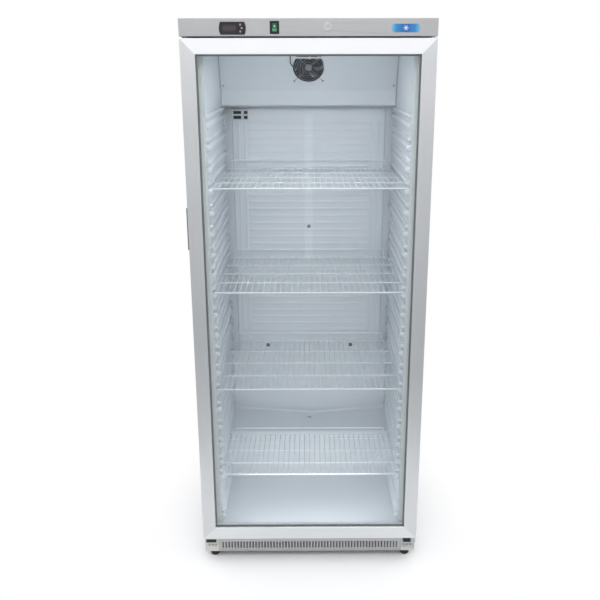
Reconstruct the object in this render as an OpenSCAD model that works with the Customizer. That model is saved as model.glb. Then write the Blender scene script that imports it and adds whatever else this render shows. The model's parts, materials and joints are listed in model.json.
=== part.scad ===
// Upright glass-door refrigerator, in millimetres.
// Origin on the floor under the middle of the footprint, +Z up, door facing -Y, +X to the right.
// Depths (d) are counted backwards from the front face of the door.

/* [Cabinet] */
// Overall width
body_w = 777; // [767:1:787]
// Overall depth, from the door's front face to the rear spacers
body_d = 695; // [690:1:705]
// Overall height, from the floor to the top cover
body_h = 1895; // [1890:1:1905]
// Thickness of the side walls
wall_t = 59; // [57:1:60]
// Thickness of the sheet steel
sheet_t = 1; // [0.8:0.1:1]
// Thickness of the moulded liner
liner_t = 2.5; // [2:0.1:2.5]

/* [Door] */
// Depth of the aluminium frame
door_t = 44; // [44:1:45]
// Visible width of each frame rail
rail_w = 46; // [45:1:47]
// Wall of the aluminium extrusion
rail_t = 1.8; // [1.6:0.1:1.8]
// Thickness of each glass pane
pane_t = 4; // [3:0.5:4]
// Length of the side grip
grip_len = 138; // [120:1:150]

/* [Shelves] */
// Height of the highest support ledge
top_ledge_z = 1576; // [1570:1:1576]
// Step from one ledge to the next
ledge_pitch = 70.6; // [70:0.1:70.6]
// Number of evenly spaced ledges
ledge_count = 18; // [17:1:18]
// Radius of the thick shelf wires
thick_wire_r = 2.75; // [2.5:0.05:2.75]
// Radius of the thin shelf wires
thin_wire_r = 1.8; // [1.6:0.1:1.8]
// Number of front-to-back wires in a shelf
shelf_wires = 33; // [29:2:33]

/* [Fan] */
// Side of the square fan frame
fan_size = 119; // [116:1:119]
// Lean of the fan and of the cover's main face
fan_tilt = 25; // [24:0.5:25]
// Number of rotor blades
blade_count = 7; // [5:1:9]

/* [Grille] */
// Number of slots in the plinth
slot_count = 59; // [49:2:59]
// Height of each slot
slot_h = 27; // [22:1:30]
// Width of each slot
slot_w = 5.4; // [4:0.1:5.8]

/* [Hidden] */

$fn = 32;
half_w = body_w / 2;
front_y = -body_d / 2;
e = 0.01;

// Front-to-back levels, as depths behind the door's front face
cab_d = 58;
liner_d0 = 61.2;
back_d = body_d - 100;
rear_d = body_d - 41;
plinth_d = 33;
hump_d = 415;
bay_d = 478;

// Heights
panel_z = body_h - 52;
door_z0 = 105;
door_z1 = body_h - 57;
door_h = door_z1 - door_z0;
shell_z1 = body_h - 29;
ceiling_z = body_h - 73;
opening_z0 = 129;
opening_z1 = body_h - 85;
floor_z = 128;
hump_z = 328;
bay_z = 272;
foam_z0 = 76;
base_z = 30;
inner_hw = half_w - wall_t;
rim_w = 15;

// Outline helpers: points on an arc, and a rectangle with round corners centred on the origin
function arc(c, r, a0, a1, n = 6) =
    [for (i = [0:n]) c + r * [cos(a0 + (a1 - a0) * i / n), sin(a0 + (a1 - a0) * i / n)]];
function rounded(w, h, r, n = 5) = concat(
    arc([w / 2 - r, h / 2 - r], r, 0, 90, n), arc([r - w / 2, h / 2 - r], r, 90, 180, n),
    arc([r - w / 2, r - h / 2], r, 180, 270, n), arc([w / 2 - r, r - h / 2], r, 270, 360, n));

// Placing helpers: a block, rods along each direction, and outlines swept sideways or backwards
function y(d) = front_y + d;
module slab(x0, x1, d0, d1, z0, z1) {
    translate([x0, y(d0), z0]) cube([x1 - x0, d1 - d0, z1 - z0]);
}
module rod_x(x0, x1, d, z, r) {
    translate([x0, y(d), z]) rotate([0, 90, 0]) cylinder(r = r, h = x1 - x0);
}
module rod_y(x, d0, d1, z, r) {
    translate([x, y(d0), z]) rotate([-90, 0, 0]) cylinder(r = r, h = d1 - d0);
}
module rod_z(x, d, z0, z1, r) {
    translate([x, y(d), z0]) cylinder(r = r, h = z1 - z0);
}
module sweep_x(x0, x1) {
    translate([x0, front_y, 0]) rotate([90, 0, 90]) linear_extrude(x1 - x0) children();
}
module sweep_y(d0, d1) {
    translate([0, y(d1), 0]) rotate([90, 0, 0]) linear_extrude(d1 - d0) children();
}
module both_sides() {
    children();
    mirror([1, 0, 0]) children();
}
module rect_ring(hw0, hw1, d0, d1, z0, z1, wz) {
    difference() {
        slab(-hw1, hw1, d0, d1, z0 - wz, z1 + wz);
        slab(-hw0, hw0, d0 - 1, d1 + 1, z0, z1);
    }
}

// A pan-head screw facing the front, with a cross recess
module front_screw(x, d, z, head_r = 4, shank_r = 1.9, shank = 10) {
    difference() {
        union() {
            rod_y(x, d - 2.2, d, z, head_r);
            rod_y(x, d - e, d + shank, z, shank_r);
        }
        slab(x - head_r * 0.6, x + head_r * 0.6, d - 3, d - 1, z - 0.5, z + 0.5);
        slab(x - 0.5, x + 0.5, d - 3, d - 1, z - head_r * 0.6, z + head_r * 0.6);
    }
}

// A bent tube through a list of [x, d, z] points, with a ball at each bend
module tube(points, r) {
    for (i = [0:len(points) - 2]) {
        a = points[i];
        v = points[i + 1] - a;
        lean = acos(v.z / norm(v));
        heading = atan2(v.y, v.x);
        translate([a.x, y(a.y), a.z]) rotate([0, lean, heading]) cylinder(r = r, h = norm(v));
    }
    for (i = [1:1:len(points) - 2])
        translate([points[i].x, y(points[i].y), points[i].z]) sphere(r = r * 1.04);
}

// Level rows of tube joined by half-turn bends, from the lower left to the upper right;
// the first and last rows run on past the bends by the length of the tail
module serpentine(hx, d, z0, step, rows, r, tail = 0) {
    for (i = [0:rows - 1])
        rod_x(i == 0 ? -hx - tail : -hx, i == rows - 1 ? hx + tail : hx, d, z0 + i * step, r);
    for (i = [0:rows - 2])
        translate([(i % 2 == 0 ? 1 : -1) * hx, y(d), z0 + (i + 0.5) * step]) rotate([90, 0, 0])
            rotate([0, 0, i % 2 == 0 ? -90 : 90]) rotate_extrude(angle = 180)
                translate([step / 2, 0]) circle(r = r);
}

// ---------- Cabinet ----------

// Two sides and the top from one folded sheet, with a flange turned in behind the door
module outer_shell() color([0.80, 0.81, 0.82]) {
    difference() {
        slab(-half_w, half_w, cab_d, rear_d, base_z + 2.2, shell_z1);
        slab(sheet_t - half_w, half_w - sheet_t, cab_d + sheet_t, rear_d + 1, base_z, shell_z1 - sheet_t);
        slab(-inner_hw - rim_w - 0.2, inner_hw + rim_w + 0.2, cab_d - 1, cab_d + sheet_t + 1,
            opening_z0 - 11.2, opening_z1 + 11.2);
        slab(-half_w + sheet_t, half_w - sheet_t, cab_d - 1, cab_d + sheet_t + 1, base_z, foam_z0 + 24);
    }
}

// Flat steel sheet behind the insulation
module rear_panel() color([0.72, 0.73, 0.74]) {
    slab(sheet_t - half_w + 0.2, half_w - sheet_t - 0.2, rear_d - sheet_t - 0.2, rear_d - 0.2,
        bay_z, shell_z1 - sheet_t - 0.2);
}

// Stepped sheet under the insulation: floor, front wall and ceiling of the machine bay
module step_panel() color([0.70, 0.71, 0.72]) {
    t = 1;
    difference() {
        sweep_x(sheet_t + 0.2 - half_w, half_w - sheet_t - 0.2) polygon([[cab_d + 1.4, foam_z0 - t],
            [bay_d + t, foam_z0 - t], [bay_d + t, bay_z - t], [rear_d - 1.6, bay_z - t],
            [rear_d - 1.6, bay_z], [bay_d, bay_z], [bay_d, foam_z0], [cab_d + 1.4, foam_z0]]);
        rod_z(0, drain_d, bay_z - 5, bay_z + 5, 10.5);
        slab(-pipe_x - 9, -pipe_x + 9, pipe_d - 9, pipe_d + 9, bay_z - 5, bay_z + 5);
        slab(pipe_x - 9, pipe_x + 9, pipe_d - 9, pipe_d + 9, bay_z - 5, bay_z + 5);
    }
}

// Shallow lid over the wiring space
module top_cover() color([0.78, 0.79, 0.80]) {
    difference() {
        slab(-half_w, half_w, cab_d + 0.3, rear_d, shell_z1 + 0.2, body_h);
        slab(sheet_t - half_w, half_w - sheet_t, cab_d - 1, rear_d - sheet_t, shell_z1 - 1, body_h - sheet_t);
    }
}

// Service runs through the insulation: drain tube and the evaporator's two ends
drain_d = 556;
pipe_r = 3.2;
pipe_x = 262;
pipe_d = back_d + liner_t + 1.5 + pipe_r;
plate_z0 = 420;
plate_z1 = 1560;
plate_hw = 265;

// Side view of the space inside the liner, with the raised step over the machine bay
step_r = 15;
function cavity_outline(grow) = concat(
    [[liner_d0 - grow * 2, floor_z - grow], [hump_d + grow, floor_z - grow]],
    arc([hump_d + step_r, hump_z - step_r], step_r - grow, 180, 90, 5),
    [[back_d + grow, hump_z - grow], [back_d + grow, ceiling_z + grow],
     [liner_d0 + 12 - grow, ceiling_z + grow], [liner_d0 + 12 - grow, opening_z1 + grow],
     [liner_d0 - grow * 2, opening_z1 + grow]]);

// Deeper upright channels on each side of the back pad
channel_in = 9;
module channels(grow) {
    both_sides() translate([0, front_y, pad_z0 - grow]) linear_extrude(ceiling_z - pad_z0 + grow * 2)
        polygon([[pad_hw + 2 - grow, back_d - 1], [pad_hw + 25 - grow * 0.7, back_d + channel_in + grow],
            [inner_hw + grow, back_d + channel_in + grow], [inner_hw + grow, back_d - 1]]);
}

// Foam block that fills the space between shell and liner
module insulation() color([0.93, 0.88, 0.66]) {
    gap = 0.3;
    difference() {
        sweep_x(sheet_t + gap - half_w, half_w - sheet_t - gap) polygon([[cab_d + 6.5, foam_z0 + gap],
            [bay_d - gap, foam_z0 + gap], [bay_d - gap, bay_z + gap], [rear_d - 2, bay_z + gap],
            [rear_d - 2, shell_z1 - sheet_t - gap], [cab_d + 6.5, shell_z1 - sheet_t - gap]]);
        sweep_x(-inner_hw - liner_t - gap, inner_hw + liner_t + gap) polygon(cavity_outline(liner_t + gap));
        channels(liner_t + gap);
        slab(-plate_hw - 5, plate_hw + 5, back_d, pipe_d + 6, plate_z0 - 8, plate_z1 + 8);
        slab(-pipe_x - 8, -pipe_x + 8, back_d + 2, pipe_d + 8, bay_z - 1, plate_z0);
        slab(pipe_x - 8, pipe_x + 8, back_d + 2, pipe_d + 8, bay_z - 1, plate_z0);
        rod_z(0, drain_d, bay_z - 1, hump_z + 1, 10.5);
    }
}

// Ledge pairs that carry the shelves, as one outline of the wall's inner face
ledge_proud = 10;
floor_ledge_z = 154;
function level_z(i) = i < ledge_count ? top_ledge_z - i * ledge_pitch
    : i == ledge_count ? top_ledge_z - (ledge_count - 1) * ledge_pitch - 60 : floor_ledge_z;
function ledge_pair(z) = [[0, z - 9], [ledge_proud * 0.55, z - 7], [ledge_proud, z - 2],
    [ledge_proud, z + 5], [ledge_proud - 2, z + 7], [0, z + 7], [0, z + 22], [ledge_proud * 0.7, z + 22.6],
    [ledge_proud * 0.8, z + 25], [ledge_proud * 0.7, z + 29], [0, z + 31]];
wall_points = [for (i = [ledge_count + 1:-1:0]) for (p = ledge_pair(level_z(i))) p];

module side_ledges() {
    intersection() {
        translate([-inner_hw, y(back_d), 0]) rotate([90, 0, 0]) linear_extrude(back_d - 72)
            polygon(concat([[-1, floor_ledge_z - 9]], wall_points, [[-1, top_ledge_z + 31]]));
        sweep_x(-inner_hw - 1, 0) polygon(cavity_outline(1));
    }
}

// Raised pad on the back wall with its horizontal ribs, as a side view
pad_hw = 296;
pad_z0 = 612;
pad_z1 = 1600;
pad_proud = 7;
rib_pitch = 28;
rib_z0 = pad_z0 + 94;
rib_count = floor((pad_z1 - rib_z0 - 20) / rib_pitch);
rib_points = [for (i = [0:rib_count - 1]) let (z = rib_z0 + i * rib_pitch)
    for (p = [[back_d - pad_proud, z], [back_d - pad_proud - 1.5, z + 2],
        [back_d - pad_proud - 1.5, z + 8], [back_d - pad_proud, z + 10]]) p];

module back_pad() {
    sweep_x(-pad_hw, pad_hw) polygon([[back_d + e, pad_z0], [back_d - pad_proud, pad_z0 + 10],
        [back_d - pad_proud, pad_z1 - 10], [back_d + e, pad_z1]]);
    sweep_x(-pad_hw + 40, pad_hw - 40) polygon(concat([[back_d - 1, pad_z0 + 20]],
        [[back_d - pad_proud, pad_z0 + 20]], rib_points,
        [[back_d - pad_proud, pad_z1 - 20], [back_d - 1, pad_z1 - 20]]));
}

// Fall towards the drain along the back of the step
module drain_fall() {
    rise = 25;
    hull() {
        translate([-inner_hw - 1, y(back_d), hump_z - 1]) cube([e, e, rise + 1]);
        translate([-inner_hw - 1, y(hump_d + 30), hump_z - 1]) cube([e, e, 1]);
        translate([-12, y(back_d), hump_z - 1]) cube([e, e, 1]);
        translate([-12, y(hump_d + 30), hump_z - 1]) cube([e, e, 1]);
    }
}

// Vacuum-formed tub with ledges, back pad, rim and drain
module liner() color([0.93, 0.94, 0.95]) {
    difference() {
        union() {
            difference() {
                union() {
                    sweep_x(-inner_hw - liner_t, inner_hw + liner_t) polygon(cavity_outline(liner_t));
                    channels(liner_t);
                }
                sweep_x(-inner_hw, inner_hw) polygon(cavity_outline(0));
                channels(0);
                slab(-half_w, half_w, 0, liner_d0, 0, body_h);
            }
            rect_ring(inner_hw + 1, inner_hw + rim_w, liner_d0, liner_d0 + liner_t,
                floor_z - 1, opening_z1 + 1, 11);
            both_sides() side_ledges();
            both_sides() drain_fall();
            back_pad();
        }
        rod_z(0, drain_d, hump_z - 10, hump_z + 10, 8);
        for (p = pad_screws) rod_y(p.x, back_d - 12, back_d + 6, p.y, 2.2);
    }
}

// White profile that bridges the liner and the steel flange behind the door
module breaker_strip() color([0.95, 0.96, 0.95]) {
    rect_ring(inner_hw, inner_hw + rim_w, cab_d, liner_d0 - 0.2, opening_z0, opening_z1, 11);
}

// ---------- Cold side ----------

// Aluminium plate against the liner with its serpentine, both ends led down to the machine bay
module evaporator() color([0.76, 0.78, 0.80]) {
    step = 76;
    rows = 15;
    hx = pipe_x - 50;
    z0 = plate_z0 + 30;
    slab(-plate_hw, plate_hw, back_d + liner_t + 0.4, back_d + liner_t + 1.4, plate_z0, plate_z1);
    z1 = z0 + step * (rows - 1);
    serpentine(hx, pipe_d, z0, step, rows, pipe_r, pipe_x - hx);
    for (end = [[-pipe_x, z0], [pipe_x, z1]]) {
        rod_z(end.x, pipe_d, bay_z - 30, end.y, pipe_r);
        translate([end.x, y(pipe_d), end.y]) sphere(r = pipe_r * 1.04);
    }
}

// Fan cover: short upper flange, leaning main face and upright lower face
cover_hw = inner_hw - 3.5;
crease1 = [482, body_h - 111];
crease2 = [482 + 114 * tan(fan_tilt), body_h - 225];
cover_t = 1.5;
fan_c = [crease1.x + 31.4 * tan(fan_tilt), body_h - 142.4];
screw_in = 52.5;
pad_screws = [[-172, 641], [172, 641], [0, 1145]];
module at_fan() {
    translate([0, y(fan_c.x), fan_c.y]) rotate([90 + fan_tilt, 0, 0]) children();
}

module fan_cover() color([0.86, 0.88, 0.90]) {
    difference() {
        sweep_x(-cover_hw, cover_hw) polygon([crease1 + [-26, 34], crease1, crease2,
            crease2 + [4, -52.5], crease2 + [22, -59.5], crease2 + [22, -58], crease2 + [5.4, -51.4],
            crease2 + [cover_t, 0], crease1 + [cover_t, 0], crease1 + [cover_t - 26, 34]]);
        at_fan() translate([0, 0, -8]) linear_extrude(16) difference() {
            circle(r = 57, $fn = 96);
            translate([-60, 33.2]) square([120, 60]);
        }
        sweep_y(crease1.x - 30, crease1.x + 10)
            polygon([[-44, crease1.y + 5], [44, crease1.y + 5], [60, crease1.y + 40], [-60, crease1.y + 40]]);
        at_fan() both_sides() {
            translate([screw_in, -screw_in, -8]) cylinder(r = 2.3, h = 16);
            translate([cover_hw - 10, -71, -8]) cylinder(r = 2.3, h = 16);
        }
    }
}

// Every exposed screw: fan and cover, back wall, plinth ends and hinge bracket
module screws() color([0.62, 0.62, 0.63]) {
    at_fan() both_sides() for (p = [[screw_in, -screw_in, guard_z * 2], [cover_hw - 10, -71, 0.1]])
        translate(p) {
            cylinder(r = 3.6, h = 2);
            translate([0, 0, -10]) cylinder(r = 1.9, h = 11);
        }
    for (p = pad_screws) front_screw(p.x, back_d - pad_proud, p.y, 4, 1.9, 6.5);
    for (x = end_screw_x) front_screw(x - half_w, plinth_d - 0.1, 58, 3.4, 1.9, 2.3);
    for (x = end_screw_x) front_screw(half_w - x, plinth_d - 3.7, 58, 3.4, 1.9, 5.9);
}

// Square axial fan behind the cover: frame with struts and motor seat
fan_depth = 25;
fan_back = -cover_t - 0.6;
module fan_frame() color([0.16, 0.16, 0.18]) at_fan() translate([0, 0, fan_back - fan_depth]) {
    difference() {
        linear_extrude(fan_depth) polygon(rounded(fan_size, fan_size, 8));
        translate([0, 0, -1]) cylinder(r = 56, h = fan_depth + 2, $fn = 96);
        both_sides() for (s = [-1, 1])
            translate([screw_in, s * screw_in, -1]) cylinder(r = 2.2, h = fan_depth + 2);
    }
    for (a = [45:90:315]) rotate([0, 0, a]) translate([14, -2, 0]) cube([42.6, 4, 3]);
    difference() {
        cylinder(r = 18, h = 3.5);
        translate([0, 0, -1]) cylinder(r = 3.05, h = 6);
    }
}

module fan_rotor() color([0.12, 0.12, 0.14]) at_fan() translate([0, 0, fan_back - fan_depth]) {
    cylinder(r = 3, h = 8);
    difference() {
        translate([0, 0, 4]) cylinder(r = 20, h = 18);
        translate([0, 0, 3]) cylinder(r = 17, h = 2);
    }
    for (i = [0:blade_count - 1]) rotate([0, 0, i * 360 / blade_count])
        intersection() {
            translate([18, 0, 13.6]) rotate([38, 0, 0]) translate([0, -15, -0.8]) cube([36, 30, 1.6]);
            difference() {
                cylinder(r = 53, h = 22);
                translate([0, 0, -1]) cylinder(r = 19, h = 24);
            }
        }
}

// Wire guard held by the same screws as the fan
guard_z = 1.1;
module fan_guard() color([0.10, 0.10, 0.11]) at_fan() {
    r = 0.9;
    eye_r = 3.2;
    intersection() {
        union() {
            for (ring = [13:9:49]) rotate_extrude()
                translate([ring, guard_z + r * 2 - 0.3]) circle(r = r, $fn = 16);
            for (a = [45, 135]) rotate([0, 0, a]) translate([-56, 0, guard_z]) rotate([0, 90, 0])
                cylinder(r = r, h = 112);
            translate([0, 0, guard_z - 0.7]) cylinder(r = 11, h = 1.6);
        }
        translate([-60, -60, 0]) cube([120, 93, 8]);
    }
    both_sides() {
        rotate([0, 0, -45]) translate([50, 0, guard_z]) rotate([0, 90, 0])
            cylinder(r = r, h = screw_in * sqrt(2) - eye_r - 50);
        translate([screw_in, -screw_in, guard_z]) rotate_extrude()
            translate([eye_r, 0]) circle(r = r, $fn = 16);
    }
}

// Fan lead from the ceiling, and the mains lead with its terminal box and plug
module leads() color([0.13, 0.13, 0.14]) {
    tube([[-60, 450, ceiling_z - 2], [-66, 462, 1790], [-66, 483, 1766], [-54.6, 495.5, 1753]], 1.6);
    slab(-334, -300, 600, 649, base_z + 2.1, 110);
    tube([[-320, 648, 95], [-320, 672, 95], [-320, 680, 110], [-320, 680, 290], [-330, 680, 305],
        [-345, 680, 305], [-355, 680, 290], [-355, 680, 168]], 3.8);
    slab(-369, -341, 666, 694, 130, 170);
    for (x = [-361, -349]) rod_z(x, 680, 112, 131, 2.4);
}

// Slotted clip on the back wall that holds the temperature probe
probe_x = -261;
module probe_holder() color([0.80, 0.82, 0.84]) {
    difference() {
        slab(probe_x - 32, probe_x + 32, back_d - 22, back_d - pad_proud - 0.2, 1560, 1599);
        slab(probe_x - 29, probe_x + 29, back_d - 19, back_d, 1563, 1596);
        for (x = [-26, 14]) for (z = [1564, 1582])
            slab(probe_x + x, probe_x + x + (x < 0 ? 30 : 14), back_d - 23, back_d - 18, z, z + 12);
    }
}

module probe() color([0.20, 0.21, 0.22]) rod_x(probe_x - 24, probe_x + 24, back_d - 13, 1579.5, 3.5);

// Strip lamp under the front of the ceiling: tray and the diffuser set into it
module lamp() color([0.95, 0.95, 0.92]) {
    difference() {
        slab(-270, 270, 84, 116, ceiling_z - 22, ceiling_z - 0.2);
        slab(-266, 266, 87, 113, ceiling_z - 23, ceiling_z - 4);
    }
    slab(-265.8, 265.8, 87.2, 112.8, ceiling_z - 21.8, ceiling_z - 8);
}

// ---------- Control panel ----------

ctrl_x = -227;
ctrl_z = body_h - 29;
switch_x = -101.5;
switch_z = body_h - 27;
lock_x = 57;
lock_z = body_h - 25;
cam_d = 22;
pin_x = half_w - 10.7;
pin_d = 15;

// Folded stainless fascia, open at the back
module control_panel() color([0.74, 0.74, 0.74]) {
    t = 1.2;
    difference() {
        slab(-half_w, half_w, 0, cab_d - 0.5, panel_z, body_h);
        slab(t - half_w, half_w - t, t, cab_d + 1, panel_z + t, body_h - t);
        slab(ctrl_x - 36, ctrl_x + 36, -1, t + 1, ctrl_z - 15, ctrl_z + 15);
        slab(switch_x - 11.2, switch_x + 11.2, -1, t + 1, switch_z - 15.2, switch_z + 15.2);
        rod_y(lock_x, -1, t + 1, lock_z, 9.6);
        slab(lock_x - 10, lock_x + 37, cam_d - 4, cam_d + 8, panel_z - 1, panel_z + t + 1);
        rod_z(pin_x, pin_d, panel_z - 1, panel_z + t + 1, 5.4);
    }
}

// Black bezel with bowed ends, and its case behind the panel
module controller_case() color([0.13, 0.13, 0.14]) {
    difference() {
        union() {
            intersection() {
                slab(ctrl_x - 41, ctrl_x + 41, -4.5, -0.1, ctrl_z - 18, ctrl_z + 18);
                rod_y(ctrl_x, -5, 0, ctrl_z, 40);
            }
            slab(ctrl_x - 35.5, ctrl_x + 35.5, -0.2, 50, ctrl_z - 14.5, ctrl_z + 14.5);
        }
        slab(ctrl_x - 30, ctrl_x + 11, -5, -2.5, ctrl_z - 11, ctrl_z + 11);
        for (k = [-1:1]) rod_y(key_x(k), -6, 0.5, key_z(k), 3.08);
    }
}

module display_window() color([0.25, 0.20, 0.24]) {
    slab(ctrl_x - 29.9, ctrl_x + 10.9, -4.2, -2.6, ctrl_z - 10.9, ctrl_z + 10.9);
}

// Three keys on an arc at the right of the display
function key_x(k) = ctrl_x + 16 + 12 * cos(k * 50);
function key_z(k) = ctrl_z + 12.5 * sin(k * 50);
module controller_key(k) {
    rod_y(key_x(k), -5.3, -0.9, key_z(k), 3);
}
module key_up() color([0.75, 0.70, 0.72]) controller_key(1);
module key_set() color([0.75, 0.70, 0.72]) controller_key(0);
module key_down() color([0.75, 0.70, 0.72]) controller_key(-1);

module switch_bezel() color([0.08, 0.08, 0.09]) {
    difference() {
        union() {
            slab(switch_x - 14, switch_x + 14, -2.4, -0.1, switch_z - 18.5, switch_z + 18.5);
            slab(switch_x - 11, switch_x + 11, -0.2, 26, switch_z - 15, switch_z + 15);
        }
        slab(switch_x - 7.2, switch_x + 7.2, -3, 18, switch_z - 13.4, switch_z + 13.4);
    }
    rod_x(switch_x - 7.3, switch_x + 7.3, rocker_d, switch_z, rocker_pin_r);
}

// Rocker with two faces that meet over its pivot pin
rocker_d = 7;
rocker_pin_r = 1.2;
module light_rocker() color([0.05, 0.55, 0.35]) {
    difference() {
        sweep_x(switch_x - 6.9, switch_x + 6.9) translate([0, switch_z])
            polygon([[-3.4, -11.6], [0, 0], [-1, 12], [3, 12.6], [8, 12.6], [rocker_d * 2, 9],
                [rocker_d * 2, -9], [8, -12.2], [1, -12.2]]);
        rod_x(switch_x - 8, switch_x + 8, rocker_d, switch_z, rocker_pin_r + 0.05);
    }
}

module lock_barrel() color([0.80, 0.80, 0.81]) {
    difference() {
        union() {
            rod_y(lock_x, -3, -0.1, lock_z, 12.5);
            rod_y(lock_x, -0.2, 18, lock_z, 9.4);
        }
        rod_y(lock_x, -4, 19, lock_z, 6.05);
    }
    difference() {
        rod_y(lock_x, 1.4, 5, lock_z, 13);
        rod_y(lock_x, 1, 6, lock_z, 9.3);
    }
}

// Turning plug with its key slot and the cam that drops into the door
module lock_plug() color([0.70, 0.70, 0.71]) {
    difference() {
        rod_y(lock_x, -2.6, cam_d, lock_z, 6);
        slab(lock_x - 0.8, lock_x + 0.8, -4, 4, lock_z - 4, lock_z + 4);
    }
    sweep_y(cam_d, cam_d + 2.5) translate([lock_x, lock_z])
        polygon(concat(arc([0, 0], 7, 90, 270), arc([37, 0], 7, -90, 90)));
}

// Plain rounded plate with a raised six-armed frost mark
badge_x = 291;
badge_z = body_h - 28.5;
module badge() color([0.10, 0.50, 0.75]) {
    translate([badge_x, 0, badge_z]) {
        sweep_y(-1.6, -0.1) polygon(rounded(84, 24, 8));
        for (a = [0:60:120]) translate([0, y(-2), 0]) rotate([0, a, 0]) cube([16, 1, 1.6], center = true);
    }
}

// Black blanks over the spare left-hand hinge holes, under the panel and in the plinth end
module hinge_blanks() color([0.06, 0.06, 0.06]) {
    slab(-365, -287, 5, 24, panel_z - 2.6, panel_z - 0.1);
    slab(slot_x0 + 0.2 - half_w, slot_x1 - 0.2 - half_w, plinth_d - 0.4, plinth_d + 2.2,
        slot_z0 + 0.2, slot_z1 - 0.2);
}

module upper_hinge() color([0.62, 0.62, 0.63]) {
    slab(half_w - 62, half_w - 1.6, 4, 52, panel_z + 1.4, panel_z + 5);
    rod_z(pin_x, pin_d, door_z1 - 22, panel_z + 3, 5);
}

// Angle bracket on the plinth that carries the door's pivot
module lower_hinge() color([0.72, 0.72, 0.73]) {
    plate_top = 84;
    difference() {
        union() {
            slab(half_w - 45, half_w - 0.6, plinth_d - 3.6, plinth_d - 0.3, 46, plate_top);
            slab(half_w - 45, pin_x, pin_d - 10.3, plinth_d - 0.3, plate_top - 4, plate_top);
            slab(pin_x - 1, half_w - 0.6, pin_d, plinth_d - 0.3, plate_top - 4, plate_top);
            rod_z(pin_x, pin_d, plate_top - 4, plate_top, 10.6);
        }
        for (x = end_screw_x) rod_y(half_w - x, plinth_d - 5, plinth_d + 1, 58, 2.3);
    }
    rod_z(pin_x, pin_d, plate_top - 1, door_z0 - 4.2, 9.8);
    rod_z(pin_x, pin_d, plate_top - 1, door_z0 + 24, 5);
}

module door_stop() color([0.07, 0.07, 0.07]) {
    slab(half_w - 44, half_w - 23, pin_d - 6, plinth_d - 4, 84.2, 98);
}

// ---------- Door ----------

glass_d0 = 8;
spacer_d0 = glass_d0 + pane_t;
spacer_d1 = 24;
bead_d = spacer_d1 + pane_t + 0.4;
pocket_a = 33;

// Section of the extrusion: a is the distance in from the door's edge, then the depth
module rail_section() {
    t = rail_t;
    difference() {
        polygon([[0, 0], [rail_w - 0.6, 0], [rail_w, 0.6], [rail_w, glass_d0 - 0.3],
            [rail_w - t, glass_d0 - 0.3], [rail_w - t, t], [pocket_a, t], [pocket_a, bead_d],
            [rail_w - 2, bead_d], [rail_w - 2, bead_d + t], [pocket_a, bead_d + t],
            [pocket_a, door_t], [0, door_t]]);
        translate([t, t]) square([pocket_a - 2 * t, bead_d - 2 * t]);
        translate([t, bead_d + t]) square([pocket_a - 2 * t, door_t - bead_d - 2 * t]);
        translate([12.4, door_t - t - 1]) square([3.2, t + 2]);
    }
}

// A length with mitred ends: the outline's x runs in from the edge
module mitred(len) {
    difference() {
        linear_extrude(len) children();
        rotate([0, -45, 0]) translate([-5, -50, -100]) cube([150, 150, 100]);
        translate([0, 0, len]) mirror([0, 0, 1])
            rotate([0, -45, 0]) translate([-5, -50, -100]) cube([150, 150, 100]);
    }
}
module left_side() {
    translate([-half_w, front_y, door_z0]) mitred(door_h) children();
}
module top_side() {
    translate([-half_w, front_y, door_z1]) rotate([0, 90, 0]) mitred(body_w) children();
}
module upside_down() {
    translate([0, 0, door_z0 + door_z1]) mirror([0, 0, 1]) children();
}
module bottom_side() {
    upside_down() top_side() children();
}
module door_ring() {
    both_sides() left_side() children();
    top_side() children();
    bottom_side() children();
}

grip_z = 1256;
grip_d = 15;
module rail_left() color([0.84, 0.85, 0.86]) {
    difference() {
        left_side() rail_section();
        slab(-half_w - 1, rail_t + 1 - half_w, grip_d - 11, grip_d + 11,
            grip_z - grip_len / 2 + 2, grip_z + grip_len / 2 - 2);
    }
}

module rail_right() color([0.84, 0.85, 0.86]) mirror([1, 0, 0]) left_side() rail_section();

module rail_top() color([0.88, 0.89, 0.90]) {
    difference() {
        top_side() rail_section();
        rod_z(pin_x, pin_d, door_z1 - 4, door_z1 + 1, 8.1);
        slab(lock_x - 9, lock_x + 36, cam_d - 3, cam_d + 4, door_z1 - 4, door_z1 + 1);
    }
}

module rail_bottom() color([0.84, 0.85, 0.86]) {
    difference() {
        bottom_side() rail_section();
        rod_z(pin_x, pin_d, door_z0 - 1, door_z0 + 4, 8.1);
    }
}

// Cast angle block inside a hollow corner, bored for the pivot
module corner_key() {
    g = rail_t + 0.3;
    a1 = pocket_a - rail_t - 0.3;
    d1 = bead_d - rail_t - 0.3;
    arm = 62;
    difference() {
        union() {
            slab(half_w - a1, half_w - g, g, d1, door_z0 + g, door_z0 + arm);
            slab(half_w - arm, half_w - g, g, d1, door_z0 + g, door_z0 + a1);
        }
        rod_z(pin_x, pin_d, door_z0, door_z0 + arm + 1, 8.15);
    }
}
module corner_keys() color([0.60, 0.60, 0.62]) both_sides() {
    corner_key();
    upside_down() corner_key();
}

module hinge_bushes() color([0.90, 0.90, 0.86]) {
    difference() {
        union() {
            rod_z(pin_x, pin_d, door_z0 - 3.9, door_z0 - 0.1, 9.4);
            rod_z(pin_x, pin_d, door_z0 - 0.2, door_z0 + 28, 8);
            rod_z(pin_x, pin_d, door_z1 + 0.1, door_z1 + 3, 9.4);
            rod_z(pin_x, pin_d, door_z1 - 26, door_z1 + 0.2, 8);
        }
        rod_z(pin_x, pin_d, door_z0 - 5, door_z1 + 5, 5.05);
    }
}

// Sealed double glazing: two panes, a dark edge seal and the hollow bar that keeps them apart
glass_a = pocket_a + 1;
glass_hw = half_w - glass_a;
seal_a = rail_w + 5.5;
module glass_panes() color([0.80, 0.90, 0.88, 0.25]) {
    for (d = [glass_d0, spacer_d1])
        slab(-glass_hw, glass_hw, d + 0.05, d + pane_t - 0.05, door_z0 + glass_a, door_z1 - glass_a);
}

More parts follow.
